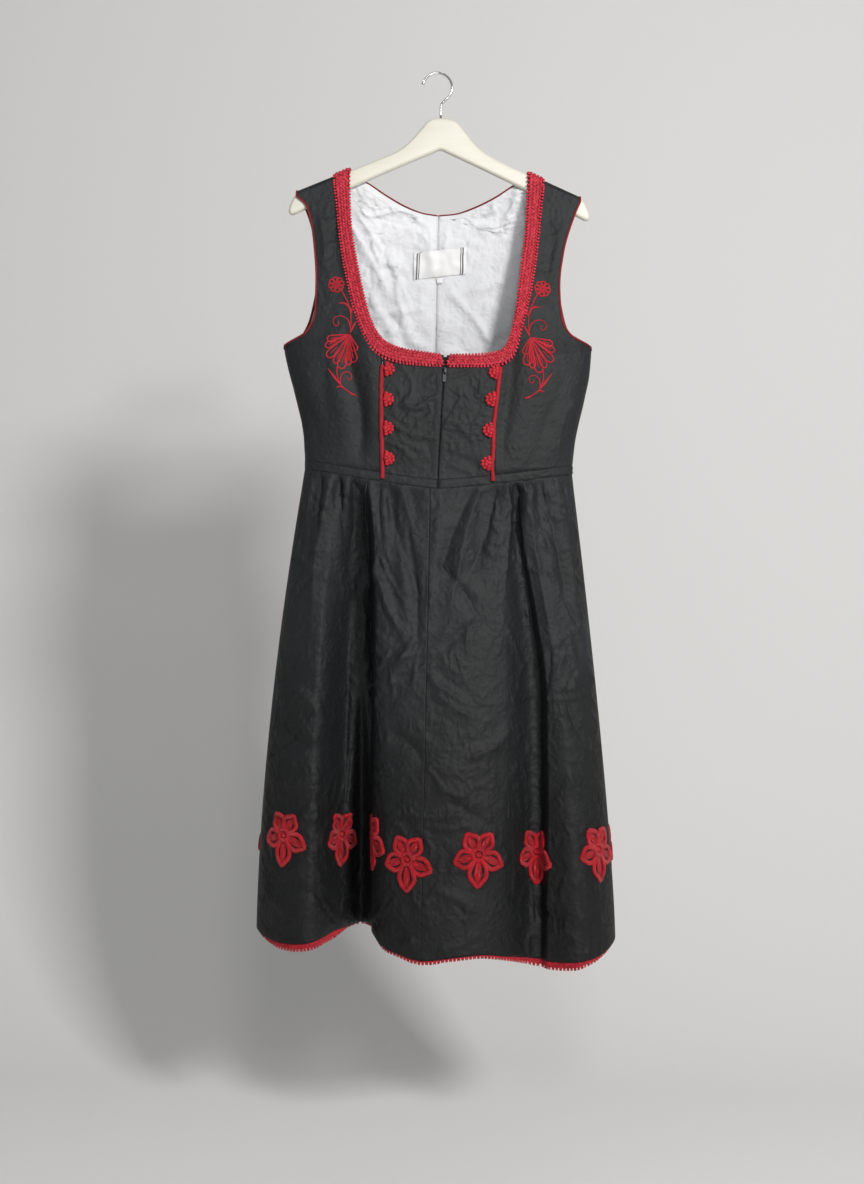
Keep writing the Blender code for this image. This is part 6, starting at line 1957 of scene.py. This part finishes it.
# Crocheted lace that shows below the hem: a netted band with small picots along its scallops
LACE_PITCH, LACE_DEEP = 0.0058, 0.0034
lace_yarn = yarn_finish("lace yarn", (0.26, 0.005, 0.012), (0.54, 0.016, 0.032), 0.55, 450.0)
for word, start, stop, _ in SKIRT_PANELS:
    places_at, shares, outer = skirt_skins[word]
    hem, normals = outer[-1], row_normals(outer, -1)[-1]
    above = outer[-4]
    fall = hem - above
    fall /= np.linalg.norm(fall, axis=1, keepdims=True)
    run = np.concatenate([[0.0], np.cumsum(np.linalg.norm(np.diff(hem, axis=0), axis=1))])
    count = int(run[-1] / LACE_PITCH)
    fine = np.linspace(0, run[-1], count * 6 + 1)
    spot = np.stack([np.interp(fine, run, hem[:, k]) for k in range(3)], axis=1)
    out = np.stack([np.interp(fine, run, normals[:, k]) for k in range(3)], axis=1)
    down = np.stack([np.interp(fine, run, fall[:, k]) for k in range(3)], axis=1)
    show = np.interp(fine, run, [max(fold_value(place, 5), 0.001) for place in places_at])
    phase = np.abs(np.sin(np.linspace(0, count * math.pi, len(fine))))
    behind = CLOTH + SEAM + 0.0003
    rows, lows = [], []
    for k in range(7):
        t = k / 6
        reach = -LACE_LAP + (LACE_LAP + show - LACE_DEEP * (1 - phase) - 0.0004) * t
        line = spot + down * reach[:, None] - out * behind
        rows.append(line)
        lows.append(line - out * LACE_THICK)
    base = wall_mesh("lace base", np.array(rows), np.array(lows))
    base.materials.append(lace_yarn)
    places = []
    for i in range(0, len(fine), 2):
        for level, size in ((1.0, 0.85), (0.62, 1.0), (0.25, 1.0)):
            reach = (show[i] - LACE_DEEP * (1 - phase[i])) * level
            if (level < 1 and show[i] < 0.004) or (level == 1 and phase[i] < 0.4):
                continue
            at = spot[i] + down[i] * reach - out[i] * (behind + LACE_THICK * 0.2)
            slant = 0.8 if (i // 2) % 2 else -0.8
            j = min(i + 1, len(fine) - 1)
            along = Vector(spot[j] - spot[j - 1]).normalized()
            lean = along * math.cos(slant) + Vector(down[i]) * math.sin(slant)
            places.append((at, lean, out[i], size))
    knots = laid_grains("lace knots", places, 0.0042, 0.0021, 0.0024, lace_yarn, 5, 7)
    mesh = joined(f"hem_lace_{word}", base, knots)
    piece(mesh, None, (f"lace_{word}",))


# Hanger: cream painted wood with rounded edges, and a chrome wire hook
def hanger_half(side):
    half = [Vector((side * row[0 if side < 0 else 1] + WOOD_SHIFT, -row[2])) for row in HUMP]
    for x in SEAT_X:
        half.append(Vector((side * x, -(SHOULDER_DROP + CLOTH + WOOD_SEAT + SHOULDER_SLOPE * (x - SHOULDER_IN)))))
    half += [Vector((side * x + WOOD_SHIFT, -drop)) for x, drop in TIP]
    last_x, last_drop = TIP[-1]
    for x in LOWER_X:
        t = (last_x - x) / last_x
        drop = mix(last_drop, NOTCH_DROP, t) - LOWER_SAG * math.sin(math.pi * t)
        half.append(Vector((side * x + WOOD_SHIFT, -drop)))
    return half


def painted_hanger():
    notch = Vector((WOOD_SHIFT, -NOTCH_DROP - NOTCH_ROUND))
    corners = hanger_half(1) + [notch] + hanger_half(-1)[:0:-1]
    line = curve_through(corners, 420, True)
    area = 0.5 * np.sum(line[:, 0] * np.roll(line[:, 1], -1) - np.roll(line[:, 0], -1) * line[:, 1])
    if area > 0:
        line = line[::-1]
    tangent = np.roll(line, -1, axis=0) - np.roll(line, 1, axis=0)
    tangent /= np.linalg.norm(tangent, axis=1, keepdims=True)
    inward = np.stack([tangent[:, 1], -tangent[:, 0]], axis=1)
    points, faces = [], []
    levels = []
    for degrees in range(0, 91, 10):
        turn = math.radians(degrees)
        levels.append(
            (WOOD_HALF - WOOD_ROUND + WOOD_ROUND * math.cos(turn), 0.0042 * (1 - math.sin(turn)))
        )
    levels = [(-y, by) for y, by in levels] + [(y, by) for y, by in reversed(levels)]
    for y, by in levels:
        moved = line + inward * by
        points += [(p[0], y, p[1]) for p in moved]
    count = len(line)
    for level in range(len(levels) - 1):
        for k in range(count):
            m = (k + 1) % count
            a = level * count
            faces.append((a + k, a + m, a + count + m, a + count + k))
    faces.append(tuple(range(count))[::-1])
    faces.append(tuple(range((len(levels) - 1) * count, len(levels) * count)))
    mesh = bpy.data.meshes.new("painted_hanger")
    mesh.from_pydata(points, [], faces)
    work = bmesh.new()
    work.from_mesh(mesh)
    bmesh.ops.triangulate(work, faces=[face for face in work.faces if len(face.verts) > 4])
    bmesh.ops.recalc_face_normals(work, faces=work.faces)
    work.to_mesh(mesh)
    work.free()
    mesh.shade_smooth()
    mesh.set_sharp_from_angle(angle=math.radians(50))
    return mesh


def wood_finish():
    """Cream paint over turned beech: faint grain under the paint."""
    made, tree, shader = finish("cream wood", (0.80, 0.77, 0.66), 0.38, Coat_Weight=0.15, Coat_Roughness=0.25)
    where = node(tree, "ShaderNodeTexCoord", (-1100, 0))
    stretched = node(tree, "ShaderNodeMapping", (-900, 0))
    stretched.inputs["Scale"].default_value = (9.0, 90.0, 90.0)
    link(tree, where.outputs["Object"], stretched.inputs["Vector"])
    grain = node(tree, "ShaderNodeTexNoise", (-700, 0), Scale=1.6, Detail=6.0, Roughness=0.6)
    link(tree, stretched.outputs[0], grain.inputs["Vector"])
    colour = ramp(tree, (0.62, 0.60, 0.51), (0.73, 0.71, 0.62))
    link(tree, grain.outputs["Fac"], colour.inputs[0])
    link(tree, colour.outputs[2], shader.inputs["Base Color"])
    rough = node(tree, "ShaderNodeMapRange", (-400, -150))
    rough.inputs["To Min"].default_value = 0.30
    rough.inputs["To Max"].default_value = 0.50
    link(tree, grain.outputs["Fac"], rough.inputs["Value"])
    link(tree, rough.outputs[0], shader.inputs["Roughness"])
    bump(tree, shader, grain.outputs["Fac"], 0.0004, 0.5)
    return made


def metal_finish(name, colour, rough, spread, **sockets):
    """Metal with a fine brushed drift in its gloss."""
    made, tree, shader = finish(name, colour, rough, 1.0, **sockets)
    where = node(tree, "ShaderNodeTexCoord", (-900, 0))
    brushed = node(tree, "ShaderNodeTexNoise", (-650, 0), Scale=600.0, Detail=4.0)
    link(tree, where.outputs["Object"], brushed.inputs["Vector"])
    gloss = node(tree, "ShaderNodeMapRange", (-400, 0))
    gloss.inputs["To Min"].default_value = max(rough - spread, 0.02)
    gloss.inputs["To Max"].default_value = rough + spread
    link(tree, brushed.outputs["Fac"], gloss.inputs["Value"])
    link(tree, gloss.outputs[0], shader.inputs["Roughness"])
    bump(tree, shader, brushed.outputs["Fac"], 0.0001, 0.3)
    return made


cream_wood = wood_finish()
chrome = metal_finish("chrome wire", (0.62, 0.62, 0.61), 0.14, 0.06)
black_metal = metal_finish("blackened zip metal", (0.06, 0.06, 0.065), 0.34, 0.10)
piece(painted_hanger(), cream_wood, ("hanger_body",))

ball = ((-3.0, 0.25), (-2.3, 0.80), (-1.2, 0.96), (0.0, 1.0), (1.2, 0.95), (2.2, 0.78), (3.0, 0.66))
ways = [(math.radians(HOOK_TIP_DEGREES - away), share * HOOK_BALL) for away, share in ball]
ways += [(math.radians(d), HOOK_WIRE) for d in np.arange(161, HOOK_END_DEGREES, -6)]
spots = []
for turn, radius in ways:
    spots.append((HOOK_CENTRE_X + HOOK_RADIUS * math.cos(turn), 0.0, -HOOK_CENTRE_DROP + HOOK_RADIUS * math.sin(turn)))
radii = [radius for _, radius in ways]
tail_ends = [spots[-1], (0.0055, 0.0, -0.0395), (0.0022, 0.0, -0.0432), (SHAFT_X, 0.0, -0.0480), (SHAFT_X, 0.0, -0.0560)]
tail_line = curve_through(tail_ends, 24)[1:]
spots += [tuple(p) for p in tail_line] + [(SHAFT_X, 0.0, -HUMP[0][2] - SHAFT_SINK)]
radii += [HOOK_WIRE] * (len(tail_line) + 1)
size = len(spots)
round_wire = [(math.cos(2 * math.pi * k / 16), math.sin(2 * math.pi * k / 16)) for k in range(16)]
mesh = cord_mesh("wire_hook", [(np.array(spots), np.tile((0.0, 1.0, 0.0), (size, 1)), radii, radii, False)], round_wire)
piece(mesh, chrome, ("hanger_hook",))


# Zip: two rows of teeth in the parting, the slider and its pull tab
zip_tape = cloth_finish(
    "zip tape", (0.008, 0.009, 0.010), (0.014, 0.015, 0.016), 0.7, 0.0008, 2400.0, 0.004, 0.3, Specular_IOR_Level=0.3
)
zip_bottom = waist_low(-1, FRONT, 0) - ZIP_END
rows, lows, teeth = [], [], []
for drop in np.linspace(ZIP_TOP, zip_bottom, 110):
    middle = smooth(FRONT_LINES, drop, 2)
    at, _ = front_at(-1, middle, drop)
    rows.append([tuple(at + Vector((across * 0.0030, 0.0017, 0))) for across in (-1, -0.4, 0.4, 1)])
    lows.append([tuple(at + Vector((across * 0.0030, 0.0024, 0))) for across in (-1, -0.4, 0.4, 1)])
tape = wall_mesh("zip tape", np.array(rows), np.array(lows))
tape.materials.append(zip_tape)
tooth_pitch = 0.00125
for k in range(int((zip_bottom - SLIDER_DROP - 0.004) / tooth_pitch)):
    drop = SLIDER_DROP + 0.004 + k * tooth_pitch
    middle = smooth(FRONT_LINES, drop, 2) + (0.00035 if k % 2 else -0.00035)
    at, _ = front_at(-1, middle, drop)
    teeth.append((at + Vector((0, 0.0012, 0)), (1, 0, 0.05), (0, -1, 0), 1.0))
for k in range(8):
    for sign in (-1, 1):
        drop = SLIDER_DROP - 0.0045 - k * tooth_pitch * 1.6
        middle = smooth(FRONT_LINES, drop, 2) + sign * 0.0010
        at, _ = front_at(-1, middle, drop)
        teeth.append((at + Vector((0, 0.0004, 0)), (1, 0, 0.05), (0, -1, 0), 0.8))
chain = laid_grains("zip teeth", teeth, 0.0017, 0.00085, 0.0010, black_metal, 5, 6)
piece(joined("zip_teeth", tape, chain), None, ("zip_chain",))


def rounded_copy(node_name, name, width, segments):
    """A copy of a rigid solid with its edges eased."""
    source = bpy.data.objects[node_name]
    work = bmesh.new()
    work.from_mesh(source.data)
    bmesh.ops.remove_doubles(work, verts=work.verts, dist=1e-6)
    bmesh.ops.dissolve_limit(work, angle_limit=math.radians(2), verts=work.verts, edges=work.edges)
    sharp = [edge for edge in work.edges if len(edge.link_faces) == 2 and edge.calc_face_angle() > math.radians(25)]
    bmesh.ops.bevel(work, geom=sharp, offset=width, segments=segments, affect="EDGES", clamp_overlap=True)
    bmesh.ops.recalc_face_normals(work, faces=work.faces)
    mesh = bpy.data.meshes.new(name)
    work.to_mesh(mesh)
    work.free()
    mesh.shade_smooth()
    mesh.set_sharp_from_angle(angle=math.radians(40))
    return mesh


piece(rounded_copy("zip_slider", "zip_slider_cast", 0.0004, 2), black_metal, ("zip_slider",))
piece(rounded_copy("zip_pull_tab", "zip_tab_cast", 0.00015, 2), black_metal, ("zip_pull_tab",), "pull_tab")


# Woven labels on the lining, bare but for a double bar at both ends of the wide one
def label_finish(name, bars):
    made, tree, shader = finish(name, (0.80, 0.80, 0.81), 0.6, Sheen_Weight=0.15)
    place = node(tree, "ShaderNodeUVMap", (-1200, 0), uv_map="cloth")
    woven = add_group(tree, weave, (-700, -300), Threads_per_metre=2600.0, Crinkle_size=0.010, Crinkle_height=0.5)
    bump(tree, shader, woven.outputs["Height"], 0.0006)
    pale = ramp(tree, (0.74, 0.74, 0.75), (0.84, 0.84, 0.85))
    link(tree, woven.outputs["Thread"], pale.inputs[0])
    if not bars:
        link(tree, pale.outputs[2], shader.inputs["Base Color"])
        return made
    split = node(tree, "ShaderNodeSeparateXYZ", (-1000, 0))
    link(tree, place.outputs[0], split.inputs[0])
    away = node(tree, "ShaderNodeMath", (-850, 0), operation="ABSOLUTE")
    link(tree, split.outputs["X"], away.inputs[0])
    mask = None
    for k, (middle, half) in enumerate(((0.0350, 0.0011), (0.0318, 0.0007))):
        off = node(tree, "ShaderNodeMath", (-650, 200 - 150 * k), operation="SUBTRACT")
        off.inputs[1].default_value = middle
        link(tree, away.outputs[0], off.inputs[0])
        band = node(tree, "ShaderNodeMath", (-480, 200 - 150 * k), operation="COMPARE")
        band.inputs[1].default_value = 0.0
        band.inputs[2].default_value = half
        link(tree, off.outputs[0], band.inputs[0])
        if mask is None:
            mask = band
            continue
        both = node(tree, "ShaderNodeMath", (-320, 100), operation="MAXIMUM")
        link(tree, mask.outputs[0], both.inputs[0])
        link(tree, band.outputs[0], both.inputs[1])
        mask = both
    dark = ramp(tree, (0.8, 0.8, 0.8), (0.10, 0.10, 0.11), (-100, 300))
    link(tree, mask.outputs[0], dark.inputs[0])
    link(tree, pale.outputs[2], dark.inputs[6])
    link(tree, dark.outputs[2], shader.inputs["Base Color"])
    return made


def lining_at(x, drop):
    """The spot on the dressed lining at x and a drop."""
    side = -1 if x < 0 else 1
    rows = lining_skins[side]
    place = np.unravel_index(
        np.argmin((rows[..., 0] - x) ** 2 + (rows[..., 2] + drop) ** 2), rows.shape[:2]
    )
    r, c = min(max(place[0], 2), rows.shape[0] - 3), min(max(place[1], 2), rows.shape[1] - 3)
    across = rows[r, c + 2] - rows[r, c - 2]
    down = rows[r + 2, c] - rows[r - 2, c]
    near = rows[r, c]
    slope_x = across[1] / across[0] if abs(across[0]) > 1e-6 else 0.0
    slope_z = down[1] / down[2] if abs(down[2]) > 1e-6 else 0.0
    y = near[1] + slope_x * (x - near[0]) + slope_z * (-drop - near[2])
    return np.array((x, y, -drop))


def woven_label(name, spec, finish_made, tilt, node_name):
    middle, drop, half_wide, half_tall = spec
    rows, lows = [], []
    for j in range(25):
        row, low = [], []
        for k in range(49):
            a, b = k / 24 - 1, j / 12 - 1
            x = middle + half_wide * a
            z = drop + half_tall * b - tilt * half_wide * a
            at = lining_at(x, z)
            lift = 0.0005 + 0.0016 * (1 - abs(a) ** 6) * (1 - abs(b) ** 6)
            row.append(at + np.array((0, -lift - LABEL_THICK, 0)))
            low.append(at + np.array((0, -lift, 0)))
        rows.append(row)
        lows.append(low)
    rows, lows = np.array(rows), np.array(lows)
    for grid_rows in (rows, lows):
        kernel = grid_rows.copy()
        for _ in range(6):
            inner = kernel[1:-1, 1:-1, 1]
            inner[:] = (kernel[:-2, 1:-1, 1] + kernel[2:, 1:-1, 1] + kernel[1:-1, :-2, 1] + kernel[1:-1, 2:, 1]) / 4
        grid_rows[..., 1] = kernel[..., 1]
    mesh = wall_mesh(name, rows, lows)
    return piece(mesh, finish_made, (node_name,))


woven_label("woven_label", LABEL, label_finish("label tape", True), 0.13, "label")
woven_label("woven_size_tab", SIZE_TAB, label_finish("size tape", False), 0.0, "size_tab")


# Rows of machine stitches along the seams
black_thread = thread_finish("black thread", (0.010, 0.011, 0.012), (0.030, 0.032, 0.034), 0.5, 0.0006, 0.6, 0.0001)
white_thread = thread_finish("white thread", (0.60, 0.60, 0.62), (0.78, 0.78, 0.80), 0.5, 0.0006, 0.6, 0.0001)
STITCH_STEP, STITCH_LENGTH, NECK_BAND = 0.0031, 0.0024, 0.013


def stitch_row(line, outs, lift=0.0001):
    """Places for stitches at even steps along a line on the cloth."""
    line, outs = np.asarray(line, float), np.asarray(outs, float)
    run = np.concatenate([[0.0], np.cumsum(np.linalg.norm(np.diff(line, axis=0), axis=1))])
    places = []
    for k in range(int(run[-1] / STITCH_STEP)):
        t = (k + 0.5) * STITCH_STEP
        spot = np.array([np.interp(t, run, line[:, i]) for i in range(3)])
        ahead = np.array([np.interp(t + 0.0008, run, line[:, i]) for i in range(3)])
        out = np.array([np.interp(t, run, outs[:, i]) for i in range(3)])
        if np.linalg.norm(ahead - spot) > 1e-6:
            places.append((spot + out * lift, ahead - spot, out, 1.0))
    return places


def inside_row(rows, turn, edge, away):
    """A line a set distance in from an edge of a dressed panel."""
    normals = row_normals(rows, turn)
    if edge in ("top", "bottom"):
        rows, normals = np.swapaxes(rows, 0, 1), np.swapaxes(normals, 0, 1)
    if edge in ("last", "bottom"):
        rows, normals = rows[:, ::-1], normals[:, ::-1]
    line, outs = [], []
    for spots, row_outs in zip(rows, normals):
        run = np.concatenate([[0.0], np.cumsum(np.linalg.norm(np.diff(spots, axis=0), axis=1))])
        line.append([np.interp(away, run, spots[:, i]) for i in range(3)])
        outs.append([np.interp(away, run, row_outs[:, i]) for i in range(3)])
    return np.array(line), np.array(outs)


places = []
for name, (_, outer, _) in skins.items():
    if "waistband" in name:
        turn = 1 if "back" in name else (1 if "left" in name else -1)
        for edge in ("top", "bottom"):
            places += stitch_row(*inside_row(outer, turn, edge, 0.0016))
for word, _, _, _ in SKIRT_PANELS:
    outer = skirt_skins[word][2]
    places += stitch_row(*inside_row(outer, -1, "bottom", 0.045))
places += stitch_row(*inside_row(skirt_skins["front_right"][2], -1, "first", 0.0020))
for side, word in SIDES:
    outer = skins[f"cloth_centre_{word}"][1]
    places += stitch_row(*inside_row(outer, side * FRONT, "first", 0.0062))
    outer = skins[f"cloth_back_{word}"][1]
    places += stitch_row(*inside_row(outer, side * BACK, "first", 0.0020))
mesh = laid_grains("black_stitches", places, STITCH_LENGTH, 0.0005, 0.0005, black_thread, 4, 6)
piece(mesh, None)

places = []
for side, word in SIDES:
    rows = lining_skins[side]
    line, outs = inside_row(rows, side * FRONT, "first", NECK_BAND)
    neck = np.abs(rows[:, 0, 0]) > 0.012
    places += stitch_row(line[neck], outs[neck])
    line, outs = inside_row(rows, side * FRONT, "first", 0.0025)
    places += stitch_row(line[~neck][2:], outs[~neck][2:])
mesh = laid_grains("lining_stitches", places, STITCH_LENGTH, 0.0006, 0.0006, white_thread, 4, 6)
piece(mesh, None)
